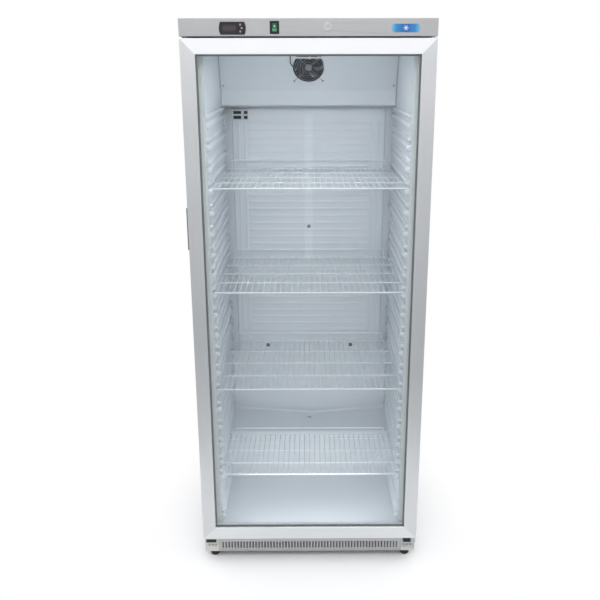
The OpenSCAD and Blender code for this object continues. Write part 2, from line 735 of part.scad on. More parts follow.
// A frame around the door between two distances in from its edge
module door_frame_ring(a0, a1, d0, d1) {
    rect_ring(half_w - a1, half_w - a0, d0, d1, door_z0 + a1, door_z1 - a1, a1 - a0);
}
module pane_seal() color([0.15, 0.16, 0.17]) {
    door_frame_ring(glass_a, glass_a + 8, spacer_d0 + 0.05, spacer_d1 - 0.05);
    for (d = [spacer_d0 + 0.05, spacer_d1 - 0.65])
        door_frame_ring(glass_a + 7, seal_a, d, d + 0.6);
}
module spacer_bar() color([0.70, 0.71, 0.72]) {
    door_frame_ring(glass_a + 8.2, seal_a, spacer_d0 + 0.75, spacer_d1 - 0.75);
}

// Magnetic gasket: dart in the rail's groove, base and soft bulb
module door_gasket() color([0.88, 0.89, 0.88]) {
    door_ring() polygon([[6, door_t + 0.1], [13, door_t + 0.1], [13, door_t - 2.6], [15, door_t - 2.6],
        [15, door_t + 0.1], [24, door_t + 0.1], [25, door_t + 4], [23, door_t + 8], [25, door_t + 10],
        [25, 57.3], [6, 57.3], [6, door_t + 9], [8, door_t + 6], [6, door_t + 3]]);
}

// Recessed side grip: a cup in the rail's outer wall with a lip that stands proud
module side_grip() color([0.55, 0.56, 0.57]) {
    difference() {
        union() {
            slab(-half_w - 1.2, -half_w - 0.1, grip_d - 14, grip_d + 14,
                grip_z - grip_len / 2, grip_z + grip_len / 2);
            slab(-half_w - 3.4, -half_w - 0.1, grip_d - 14, grip_d - 10.5,
                grip_z - grip_len / 2, grip_z + grip_len / 2);
            slab(-half_w - 0.2, 22 - half_w, grip_d - 10.5, grip_d + 10.5,
                grip_z - grip_len / 2 + 2.5, grip_z + grip_len / 2 - 2.5);
        }
        slab(-half_w - 4, 20 - half_w, grip_d - 8.5, grip_d + 8.5,
            grip_z - grip_len / 2 + 4.5, grip_z + grip_len / 2 - 4.5);
    }
}

// ---------- Shelves ----------

shelf_hw = inner_hw - 4;
full_crosses = [for (i = [0:4]) i * 124];
half_crosses = [0, 84, 180, 278, 304];
// Welded wire shelf: thick cross wires, thin wires on top and a raised rail at the back
module shelf(level, front, crosses) {
    z = level_z(level) + 7.2 + thick_wire_r;
    top = z + thick_wire_r + thin_wire_r - 0.4;
    step = (inner_hw - 15) * 2 / (shelf_wires - 1);
    back = front + crosses[len(crosses) - 1];
    for (c = crosses)
        rod_x(-shelf_hw, shelf_hw, front + c, z, thick_wire_r);
    for (i = [0:shelf_wires - 1])
        rod_y(i * step - inner_hw + 15, front - 2, back + 2, top, thin_wire_r);
    rail_d = back + 3;
    tube([[-inner_hw + 32, rail_d, z - 1], [-inner_hw + 32, rail_d, z + 33],
        [inner_hw - 32, rail_d, z + 33], [inner_hw - 32, rail_d, z - 1]], thick_wire_r - 0.3);
}
module shelf_1() color([0.96, 0.97, 0.98]) shelf(3, 80, full_crosses);
module shelf_2() color([0.96, 0.97, 0.98]) shelf(8, 72, full_crosses);
module shelf_3() color([0.96, 0.97, 0.98]) shelf(13, 66, full_crosses);
module shelf_4() color([0.96, 0.97, 0.98]) shelf(ledge_count, 78, half_crosses);

// ---------- Base ----------

foot_x = 356;
foot_d = 62;
roller_x = 352;
roller_d = 612;
end_x = 338;
end_screw_x = [16, 29, 40];
slot_x0 = 4.5;
slot_x1 = 41.5;
slot_z0 = 67;
slot_z1 = 80;

// Folded side channels with a cross rail at each end, the compressor tray and the roller forks
module base_frame() color([0.55, 0.56, 0.57]) {
    difference() {
        union() {
            both_sides() difference() {
                slab(end_x, half_w - sheet_t - 0.3, plinth_d + 2.5, rear_d - 4, base_z, foam_z0 - 1.4);
                slab(end_x - 1, half_w - sheet_t - 2.3, plinth_d + 4.5, rear_d - 6, base_z + 2, foam_z0);
            }
            slab(-end_x - 1, end_x + 1, bay_d + 8, bay_d + 10, base_z, base_z + 40);
            slab(-end_x - 1, end_x + 1, bay_d + 8, rear_d - 4, base_z, base_z + 2);
            both_sides() rod_z(foot_x, foot_d, base_z + 1, base_z + 14, 9);
        }
        both_sides() rod_z(foot_x, foot_d, base_z - 1, base_z + 15, 5.06);
        both_sides() slab(roller_x - 11, roller_x + 11, roller_d - 24, roller_d + 24, base_z - 1, base_z + 3);
    }
    both_sides() {
        for (s = [-1, 1]) translate([roller_x + s * 11.5 - 1, 0, 0])
            slab(0, 2, roller_d - 12, roller_d + 12, 12, base_z + 12);
        rod_x(roller_x - 14, roller_x + 14, roller_d, 20, 4);
    }
}

// Plinth with a row of upright slots, and the separate end plates
module plinth_grille() color([0.70, 0.69, 0.67]) {
    pitch = (end_x - 16) * 2 / (slot_count - 1);
    z1 = door_z0 - 7;
    difference() {
        union() {
            slab(-end_x + 0.5, end_x - 0.5, plinth_d, plinth_d + 1.2, base_z, z1);
            slab(-end_x + 0.5, end_x - 0.5, plinth_d, plinth_d + 14, base_z, base_z + 1.2);
            slab(-end_x + 0.5, end_x - 0.5, plinth_d, plinth_d + 14, z1 - 1.2, z1);
        }
        for (i = [0:slot_count - 1]) let (x = (i - (slot_count - 1) / 2) * pitch)
            slab(x - slot_w / 2, x + slot_w / 2, plinth_d - 1, plinth_d + 2,
                57 - slot_h / 2, 57 + slot_h / 2);
    }
}

module plinth_ends() color([0.72, 0.71, 0.70]) both_sides() {
    difference() {
        slab(end_x, half_w, plinth_d, cab_d - 0.5, base_z, door_z0 - 7);
        slab(end_x - 1, half_w - 1.2, plinth_d + 1.5, cab_d, base_z - 1, door_z0);
        slab(half_w - slot_x1, half_w - slot_x0, plinth_d - 1, plinth_d + 2, slot_z0, slot_z1);
        for (x = end_screw_x) rod_y(half_w - x, plinth_d - 1, plinth_d + 3, 58, 2.1);
    }
}

// Threaded stem with its moulded pad
module foot(x) {
    rod_z(x, foot_d, 6, 72, 5);
    translate([x, y(foot_d), 0])
        rotate_extrude() polygon(concat([[0, 0]], arc([6, 11], 11, -90, -10, 5),
            [[17, 23], [15, 27], [0, 27]]));
}
module foot_left() color([0.06, 0.06, 0.06]) foot(-foot_x);
module foot_right() color([0.06, 0.06, 0.06]) foot(foot_x);

module roller(x) {
    difference() {
        rod_x(x - 9, x + 9, roller_d, 20, 20);
        rod_x(x - 10, x + 10, roller_d, 20, 4.06);
    }
}
module roller_left() color([0.12, 0.12, 0.12]) roller(-roller_x);
module roller_right() color([0.12, 0.12, 0.12]) roller(roller_x);

// ---------- Machine bay ----------

comp_x = 190;
comp_d = 566;
mount_x = 78;
mount_d = 52;

// Hermetic shell on its foot plates, with the start box on its left
module compressor() color([0.08, 0.08, 0.09]) {
    translate([comp_x, y(comp_d), 0]) rotate_extrude() polygon(concat([[0, 66]],
        arc([58, 86], 20, -90, 0), [[78, 146], [81, 146], [81, 150], [78, 150]],
        arc([38, 190], 40, 0, 90), [[0, 230]]));
    for (s = [-1, 1]) difference() {
        slab(comp_x - mount_x - 16, comp_x + mount_x + 16, comp_d + s * mount_d - 14,
            comp_d + s * mount_d + 14, 58, 61);
        for (m = [-1, 1]) rod_z(comp_x + m * mount_x, comp_d + s * mount_d, 57, 62, 5.2);
    }
    rod_z(comp_x, comp_d, 60.5, 68, 52);
    slab(comp_x - 108, comp_x - 70, comp_d - 30, comp_d + 30, 112, 172);
    rod_x(comp_x + 70, comp_x + 92, comp_d, 120, 4.6);
    rod_y(comp_x - 40, comp_d + 60, comp_d + 84, 120, 3.6);
}

module compressor_mounts() color([0.10, 0.10, 0.10]) {
    for (s = [-1, 1]) for (m = [-1, 1]) {
        rod_z(comp_x + m * mount_x, comp_d + s * mount_d, base_z + 2.1, 57.8, 12);
        rod_z(comp_x + m * mount_x, comp_d + s * mount_d, 57, 66, 4.8);
        rod_z(comp_x + m * mount_x, comp_d + s * mount_d, 61.2, 66, 9);
    }
}

// Wire-on-tube condenser on stand-off brackets
cond_d = body_d - 18;
cond_z0 = 400;
cond_z1 = cond_z0 + 84 * 14;
cond_hw = 225;
module condenser() color([0.07, 0.07, 0.07]) {
    step = 84;
    rows = 15;
    wires = 30;
    z0 = cond_z0;
    serpentine(cond_hw, cond_d, z0, step, rows, 2.5);
    for (i = [0:wires - 1]) for (s = [-1, 1])
        rod_z((i - (wires - 1) / 2) * 14.4, cond_d + s * 3.4, z0 - 15, z0 + step * (rows - 1) + 15, 0.8);
    for (s = [-1, 1]) for (z = [z0 + step * 1.5, z0 + step * 12.5]) {
        slab(s * 285 - 12, s * 285 + 12, rear_d, body_d, z - 12, z + 12);
        slab(min(s * 285, s * 230), max(s * 285, s * 230), body_d - 9, body_d - 7, z - 8, z + 8);
    }
}

// Copper lines between compressor, condenser and evaporator, with the filter drier
module refrigerant_lines() color([0.72, 0.45, 0.30]) {
    tube([[comp_x - 40, comp_d + 84.1, 120], [comp_x - 40, 664, 120], [304, 668, 200], [304, cond_d, 300],
        [304, cond_d, cond_z1], [cond_hw + 0.1, cond_d, cond_z1]], 2.6);
    tube([[pipe_x, pipe_d, bay_z - 30.1], [pipe_x, pipe_d, 225], [comp_x + 106, comp_d, 170],
        [comp_x + 106, comp_d, 120], [comp_x + 92.1, comp_d, 120]], 3.4);
    tube([[-pipe_x, pipe_d, bay_z - 30.1], [-pipe_x, pipe_d, 232],
        [-pipe_x, pipe_d - 20, 190], [-180, 560, 190]], 1.2);
    rod_x(-181, -110, 560, 190, 9);
    tube([[-112, 560, 190], [-70, 600, 200], [-70, 660, 235], [-243, 668, 300],
        [-243, cond_d, cond_z0], [-cond_hw - 0.1, cond_d, cond_z0]], 2.6);
}

module drain_tube() color([0.85, 0.86, 0.86]) {
    difference() {
        rod_z(0, drain_d, 60, hump_z - 3, 9.8);
        rod_z(0, drain_d, 59, hump_z, 8);
    }
}

module evaporation_tray() color([0.20, 0.20, 0.21]) {
    difference() {
        slab(-150, 60, 500, 630, base_z + 2.1, 72);
        slab(-147, 57, 503, 627, base_z + 5, 73);
    }
}

outer_shell();
rear_panel();
step_panel();
top_cover();
insulation();
liner();
breaker_strip();
evaporator();
fan_cover();
screws();
fan_frame();
fan_guard();
fan_rotor();
leads();
probe_holder();
probe();
lamp();
control_panel();
controller_case();
display_window();
key_up();
key_set();
key_down();
switch_bezel();
light_rocker();
lock_barrel();
lock_plug();
badge();
hinge_blanks();
upper_hinge();
lower_hinge();
door_stop();
rail_left();
rail_right();
rail_top();
rail_bottom();
corner_keys();
hinge_bushes();
glass_panes();
pane_seal();
spacer_bar();
door_gasket();
side_grip();
shelf_1();
shelf_2();
shelf_3();
shelf_4();
base_frame();
plinth_grille();
plinth_ends();
foot_left();
foot_right();
roller_left();
roller_right();
compressor();
compressor_mounts();
condenser();
refrigerant_lines();
drain_tube();
evaporation_tray();
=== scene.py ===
"""Looks for the upright glass-door refrigerator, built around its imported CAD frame.

Lengths are written in millimetres and turned into metres by MM or at(). Depths (d) are counted
backwards from the door's front face, as in the CAD source.
"""
import json
import math

import bmesh
import bpy
from mathutils import Matrix, Vector


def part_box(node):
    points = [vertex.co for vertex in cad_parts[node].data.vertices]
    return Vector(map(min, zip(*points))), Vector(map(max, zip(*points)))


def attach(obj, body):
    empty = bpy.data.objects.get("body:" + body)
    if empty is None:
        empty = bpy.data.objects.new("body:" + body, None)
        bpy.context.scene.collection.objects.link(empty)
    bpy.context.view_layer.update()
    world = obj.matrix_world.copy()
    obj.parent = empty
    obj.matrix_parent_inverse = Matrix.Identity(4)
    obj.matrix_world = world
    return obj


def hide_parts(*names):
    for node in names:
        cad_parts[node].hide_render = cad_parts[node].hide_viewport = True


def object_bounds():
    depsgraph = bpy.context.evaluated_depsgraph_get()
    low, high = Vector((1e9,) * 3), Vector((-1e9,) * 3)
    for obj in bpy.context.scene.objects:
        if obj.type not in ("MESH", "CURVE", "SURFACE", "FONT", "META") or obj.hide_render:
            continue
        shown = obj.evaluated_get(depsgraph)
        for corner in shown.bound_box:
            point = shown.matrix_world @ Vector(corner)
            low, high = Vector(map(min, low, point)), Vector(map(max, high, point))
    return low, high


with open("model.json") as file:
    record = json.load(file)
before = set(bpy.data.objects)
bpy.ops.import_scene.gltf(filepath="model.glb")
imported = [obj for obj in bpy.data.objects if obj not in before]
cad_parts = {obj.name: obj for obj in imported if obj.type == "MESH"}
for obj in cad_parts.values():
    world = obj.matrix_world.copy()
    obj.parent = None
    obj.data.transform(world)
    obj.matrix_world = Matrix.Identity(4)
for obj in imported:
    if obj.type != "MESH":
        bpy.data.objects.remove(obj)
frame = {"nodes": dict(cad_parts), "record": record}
cad_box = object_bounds()
nodes = frame["nodes"]

MM = 0.001
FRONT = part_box("rail_left")[0].y
HEIGHT = cad_box[1].z / MM

# The liner's inner faces
INNER_HW = 329.5
LINER_D0 = 61.2
BACK_D = 595.0
FLOOR_Z = 128.0
HUMP_D = 415.0
HUMP_Z = 328.0
CEILING_Z = HEIGHT - 73
LIP_Z = HEIGHT - 85
PAD_HW = 296.0
PAD_Z0 = 612.0
PAD_Z1 = 1622.0
PAD_PROUD = 7.0
CHANNEL_IN = 9.0
LEDGE_TOP = 1576.0
LEDGE_PITCH = 70.6
LEDGES = [LEDGE_TOP - LEDGE_PITCH * i for i in range(18)] + [315.8, 154.0]
DRAIN_D = 556.0

# The fan's opening, on the sloped front of its cover
FAN_TILT = math.radians(25)
FAN_D = 482 + 31.4 * math.tan(FAN_TILT)
FAN_Z = HEIGHT - 142.4


def at(x, d, z):
    """A point from millimetres across, behind the door's front face and above the floor."""
    return Vector((x * MM, FRONT + d * MM, z * MM))


# ---------------------------------------------------------------- node helpers

def new_material(name, color, rough, metal=0.0):
    """A material with its tree and its principled shader, set to one colour and roughness."""
    mat = bpy.data.materials.new(name)
    mat.use_nodes = True
    tree = mat.node_tree
    shader = next(n for n in tree.nodes if n.type == "BSDF_PRINCIPLED")
    shader.inputs["Base Color"].default_value = (*color, 1)
    shader.inputs["Roughness"].default_value = rough
    shader.inputs["Metallic"].default_value = metal
    return mat, tree, shader


def object_place(tree):
    """The shaded point in the object's own metres, which are the row frame's."""
    return tree.nodes.new("ShaderNodeTexCoord").outputs["Object"]


def object_axes(tree):
    """The same point as separate X, Y and Z outputs."""
    split = tree.nodes.new("ShaderNodeSeparateXYZ")
    tree.links.new(object_place(tree), split.inputs[0])
    return split.outputs


def noise(tree, scale, stretch=(1, 1, 1), detail=3.0):
    """Soft noise from 0 to 1, scale in features per metre."""
    mapping = tree.nodes.new("ShaderNodeMapping")
    mapping.inputs["Scale"].default_value = stretch
    texture = tree.nodes.new("ShaderNodeTexNoise")
    texture.inputs["Scale"].default_value = scale
    texture.inputs["Detail"].default_value = detail
    tree.links.new(object_place(tree), mapping.inputs["Vector"])
    tree.links.new(mapping.outputs["Vector"], texture.inputs["Vector"])
    return texture.outputs[0]


def cells(tree, scale):
    """A Voronoi texture, scale in cells per metre."""
    texture = tree.nodes.new("ShaderNodeTexVoronoi")
    texture.inputs["Scale"].default_value = scale
    tree.links.new(object_place(tree), texture.inputs["Vector"])
    return texture


def remap(tree, source, low, high, start=0.3, stop=0.7):
    """The source's range from start to stop, moved to low and high and held there beyond it."""
    node = tree.nodes.new("ShaderNodeMapRange")
    for key, value in (("From Min", start), ("From Max", stop), ("To Min", low), ("To Max", high)):
        node.inputs[key].default_value = value
    tree.links.new(source, node.inputs["Value"])
    return node.outputs["Result"]


def ramp(tree, source, stops):
    """A colour for the source, from stops of (position, colour)."""
    node = tree.nodes.new("ShaderNodeValToRGB")
    elements = node.color_ramp.elements
    while len(elements) < len(stops):
        elements.new(0.5)
    for element, (place, color) in zip(elements, stops):
        element.position = place
        element.color = (*color, 1)
    tree.links.new(source, node.inputs["Fac"])
    return node.outputs["Color"]


def math_node(tree, operation, a, b=None):
    """One arithmetic step on numbers or outputs."""
    node = tree.nodes.new("ShaderNodeMath")
    node.operation = operation
    for socket, value in zip(node.inputs, (a, b)):
        if value is None:
            continue
        if isinstance(value, (int, float)):
            socket.default_value = value
        else:
            tree.links.new(value, socket)
    return node.outputs[0]


def bump(tree, shader, source, strength, distance=0.0005, before=None):
    """Relief from a height, added to the one before if there is one."""
    node = tree.nodes.new("ShaderNodeBump")
    node.inputs["Strength"].default_value = strength
    node.inputs["Distance"].default_value = distance
    tree.links.new(source, node.inputs["Height"])
    if before is not None:
        tree.links.new(before, node.inputs["Normal"])
    tree.links.new(node.outputs["Normal"], shader.inputs["Normal"])
    return node.outputs["Normal"]


def shade(color, factor):
    """The colour, darker or lighter by a factor."""
    return tuple(min(1.0, c * factor) for c in color)


def vary_color(tree, shader, source, color, spread):
    """The base colour, drifting by spread either way with the source."""
    stops = ((0.3, shade(color, 1 - spread)), (0.7, shade(color, 1 + spread)))
    tree.links.new(ramp(tree, source, stops), shader.inputs["Base Color"])


def blend(tree, factor, first, second):
    """The first shader where the factor is 0 and the second where it is 1."""
    mix = tree.nodes.new("ShaderNodeMixShader")
    tree.links.new(factor, mix.inputs["Fac"])
    tree.links.new(first, mix.inputs[1])
    tree.links.new(second, mix.inputs[2])
    return mix.outputs[0]


def light_path(tree, kind):
    """1 for rays of this kind, otherwise 0."""
    return tree.nodes.new("ShaderNodeLightPath").outputs[kind]


# ---------------------------------------------------------------- material families

def grained_metal(name, color, rough, grain, spread=0.05, depth=0.25):
    """Brushed or drawn metal: long thin streaks along one axis over soft clouding."""
    mat, tree, shader = new_material(name, color, rough, 1.0)
    streaks = noise(tree, 1.0, grain, 2.0)
    clouds = noise(tree, 5.0)
    mixed = math_node(tree, "ADD", math_node(tree, "MULTIPLY", streaks, 0.7),
                      math_node(tree, "MULTIPLY", clouds, 0.3))
    vary_color(tree, shader, mixed, color, spread)
    tree.links.new(remap(tree, mixed, rough - 0.05, rough + 0.07), shader.inputs["Roughness"])
    bump(tree, shader, streaks, depth, 0.00004)
    return mat


def plated_metal(name, color, rough, scale=60.0, spread=0.08):
    """Zinc plate or nickel: soft mottling, a few duller spots."""
    mat, tree, shader = new_material(name, color, rough, 1.0)
    mottle = noise(tree, scale, detail=5.0)
    vary_color(tree, shader, mottle, color, spread)
    tree.links.new(remap(tree, noise(tree, scale * 3), rough - 0.06, rough + 0.12),
                   shader.inputs["Roughness"])
    bump(tree, shader, noise(tree, scale * 12), 0.08, 0.00005)
    return mat


def spangled_metal(name, color, rough):
    """Hot-dip galvanised sheet: crystal cells of slightly different tone."""
    mat, tree, shader = new_material(name, color, rough, 0.9)
    texture = cells(tree, 90.0)
    vary_color(tree, shader, texture.outputs["Color"], color, 0.12)
    tree.links.new(remap(tree, texture.outputs["Distance"], rough - 0.08, rough + 0.1, 0.0, 0.6),
                   shader.inputs["Roughness"])
    bump(tree, shader, noise(tree, 400.0), 0.05, 0.00005)
    return mat


def painted(name, color, rough, peel=700.0, depth=0.12, spread=0.02):
    """Stoved coating: fine orange peel, slight change of tone and gloss."""
    mat, tree, shader = new_material(name, color, rough)
    vary_color(tree, shader, noise(tree, 4.0, detail=5.0), color, spread)
    tree.links.new(remap(tree, noise(tree, 30.0), rough - 0.04, rough + 0.05),
                   shader.inputs["Roughness"])
    bump(tree, shader, noise(tree, peel, detail=1.0), depth, 0.0001)
    shader.inputs["Coat Weight"].default_value = 0.15
    shader.inputs["Coat Roughness"].default_value = 0.2
    return mat


def moulded(name, color, rough, grain=1500.0, depth=0.15, spread=0.05):
    """Moulded plastic: spark-eroded grain with a faint drift of tone."""
    mat, tree, shader = new_material(name, color, rough)
    vary_color(tree, shader, noise(tree, 25.0, detail=4.0), color, spread)
    pits = cells(tree, grain).outputs["Distance"]
    tree.links.new(remap(tree, noise(tree, 120.0), rough - 0.05, rough + 0.06),
                   shader.inputs["Roughness"])
    bump(tree, shader, pits, depth, 0.0001)
    return mat


def sealant():
    """Dark bead round the pane, paler along its top run, which mirrors the bright rail above."""
    color, top = (0.18, 0.185, 0.19), (0.38, 0.39, 0.40)
    mat, tree, shader = new_material("edge_sealant", color, 0.55)
    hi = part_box("pane_seal")[1]
    run = remap(tree, object_axes(tree)["Z"], 0.0, 0.85, hi.z - 18 * MM, hi.z - 8 * MM)
    clouds = math_node(tree, "MULTIPLY", noise(tree, 80.0, detail=6.0), 0.15)
    mixed = math_node(tree, "ADD", run, clouds)
    tree.links.new(ramp(tree, mixed, ((0.0, color), (1.0, top))), shader.inputs["Base Color"])
    bump(tree, shader, noise(tree, 900.0, detail=2.0), 0.2, 0.0001)
    return mat


def rubbery(name, color, rough):
    """Rubber or soft vinyl: mottled, matt and finely pitted."""
    mat, tree, shader = new_material(name, color, rough)
    vary_color(tree, shader, noise(tree, 80.0, detail=6.0), color, 0.15)
    bump(tree, shader, noise(tree, 900.0, detail=2.0), 0.2, 0.0001)
    shader.inputs["Specular IOR Level"].default_value = 0.3
    return mat


# ---------------------------------------------------------------- single materials

def liner_plastic():
    """Vacuum-formed polystyrene: glossy skin with soft waviness from the mould."""
    color = (0.762, 0.795, 0.832)
    mat, tree, shader = new_material("liner_plastic", color, 0.3)
    vary_color(tree, shader, noise(tree, 3.0, detail=4.0), color, 0.02)
    waves = bump(tree, shader, noise(tree, 14.0, detail=1.0), 0.03, 0.001)
    bump(tree, shader, noise(tree, 650.0, detail=1.0), 0.03, 0.0001, waves)
    return mat


def lamp_plastic():
    """Milky diffuser with fine ribs across its length."""
    color = (0.86, 0.87, 0.85)
    mat, tree, shader = new_material("lamp_plastic", color, 0.35)
    vary_color(tree, shader, noise(tree, 12.0), color, 0.03)
    shader.inputs["Subsurface Weight"].default_value = 0.1
    shader.inputs["Subsurface Scale"].default_value = 0.01
    bump(tree, shader, noise(tree, 1.0, (900, 20, 20), 1.0), 0.3, 0.0002)
    return mat


def pane_glass():
    """Clear float glass: see-through, mirrored more at a grazing angle, faintly smudged."""
    mat, tree, shader = new_material("pane_glass", (0.86, 0.92, 0.91), 0.03, 1.0)
    smudges = remap(tree, noise(tree, 9.0, detail=6.0), 0.012, 0.05)
    tree.links.new(smudges, shader.inputs["Roughness"])
    clear = tree.nodes.new("ShaderNodeBsdfTransparent")
    clear.inputs["Color"].default_value = (0.988, 0.994, 0.996, 1)
    fresnel = tree.nodes.new("ShaderNodeFresnel")
    fresnel.inputs["IOR"].default_value = 1.46
    lit = math_node(tree, "SUBTRACT", 1.0, light_path(tree, "Is Shadow Ray"))
    mirrored_share = math_node(tree, "MULTIPLY", fresnel.outputs[0], 0.3)
    facing = math_node(tree, "MULTIPLY", mirrored_share, lit)
    out = next(n for n in tree.nodes if n.type == "OUTPUT_MATERIAL")
    tree.links.new(blend(tree, facing, clear.outputs[0], shader.outputs[0]), out.inputs["Surface"])
    return mat


def foam():
    """Cut rigid foam: open cells over mottled cream."""
    color = (0.83, 0.74, 0.47)
    mat, tree, shader = new_material("foam", color, 0.9)
    vary_color(tree, shader, noise(tree, 14.0, detail=8.0), color, 0.12)
    bump(tree, shader, cells(tree, 500.0).outputs["Distance"], 0.6, 0.0006)
    return mat


def display_plastic():
    """Dark tinted window with a dimmer band where the digits sit."""
    mat, tree, shader = new_material("display_plastic", (0.03, 0.02, 0.03), 0.12)
    lo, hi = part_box("display_window")
    middle, tall = (lo.z + hi.z) / 2, hi.z - lo.z
    away = math_node(tree, "ABSOLUTE", math_node(tree, "SUBTRACT", object_axes(tree)["Z"], middle))
    band = remap(tree, away, 1.0, 0.0, 0.2 * tall, 0.34 * tall)
    tint = ramp(tree, band, ((0.0, (0.02, 0.014, 0.02)), (1.0, (0.05, 0.034, 0.042))))
    tree.links.new(tint, shader.inputs["Base Color"])
    tree.links.new(remap(tree, noise(tree, 200.0), 0.08, 0.2), shader.inputs["Roughness"])
    shader.inputs["Coat Weight"].default_value = 0.6
    return mat


def rocker_plastic():
    """Translucent green rocker with a pale round dot above its middle."""
    mat, tree, shader = new_material("rocker_plastic", (0.0, 0.22, 0.09), 0.3)
    lo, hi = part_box("light_rocker")
    place = object_axes(tree)
    dx = math_node(tree, "SUBTRACT", place["X"], (lo.x + hi.x) / 2)
    dz = math_node(tree, "SUBTRACT", place["Z"], lo.z + 0.66 * (hi.z - lo.z))
    square = math_node(tree, "ADD", math_node(tree, "MULTIPLY", dx, dx),
                       math_node(tree, "MULTIPLY", dz, dz))
    dot = remap(tree, math_node(tree, "SQRT", square), 1.0, 0.0, 1.6 * MM, 2.3 * MM)
    clouds = math_node(tree, "MULTIPLY", noise(tree, 220.0), 0.12)
    greens = ((0.0, (0.0, 0.12, 0.04)), (0.15, (0.0, 0.24, 0.09)), (1.0, (0.6, 0.8, 0.7)))
    tint = ramp(tree, math_node(tree, "ADD", dot, clouds), greens)
    tree.links.new(tint, shader.inputs["Base Color"])
    shader.inputs["Coat Weight"].default_value = 0.15
    bump(tree, shader, noise(tree, 900.0), 0.06, 0.0001)
    return mat


def badge_plastic():
    """Domed blue plate fading lighter towards its ends, its raised mark in white."""
    mat, tree, shader = new_material("badge_plastic", (0.02, 0.24, 0.52), 0.18)
    lo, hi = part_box("badge")
    place = object_axes(tree)
    off = math_node(tree, "ABSOLUTE", math_node(tree, "SUBTRACT", place["X"], (lo.x + hi.x) / 2))
    along = math_node(tree, "DIVIDE", off, (hi.x - lo.x) / 2)
    clouds = math_node(tree, "MULTIPLY", noise(tree, 160.0), 0.15)
    blues = ((0.1, (0.01, 0.11, 0.40)), (0.75, (0.02, 0.22, 0.52)), (1.0, (0.12, 0.42, 0.66)))
    wash = ramp(tree, math_node(tree, "ADD", along, clouds), blues)
    raised = math_node(tree, "LESS_THAN", place["Y"], FRONT - 1.75 * MM)
    mix = tree.nodes.new("ShaderNodeMix")
    mix.data_type = "RGBA"
    tree.links.new(raised, mix.inputs["Factor"])
    tree.links.new(wash, mix.inputs[6])
    mix.inputs[7].default_value = (0.9, 0.93, 0.95, 1)
    tree.links.new(mix.outputs[2], shader.inputs["Base Color"])
    shader.inputs["Coat Weight"].default_value = 0.7
    bump(tree, shader, noise(tree, 500.0), 0.04, 0.0001)
    return mat


# Brushing direction: noise stretched 1600 to 3
ALONG_X = (3, 1600, 1600)
ALONG_Z = (1600, 1600, 3)


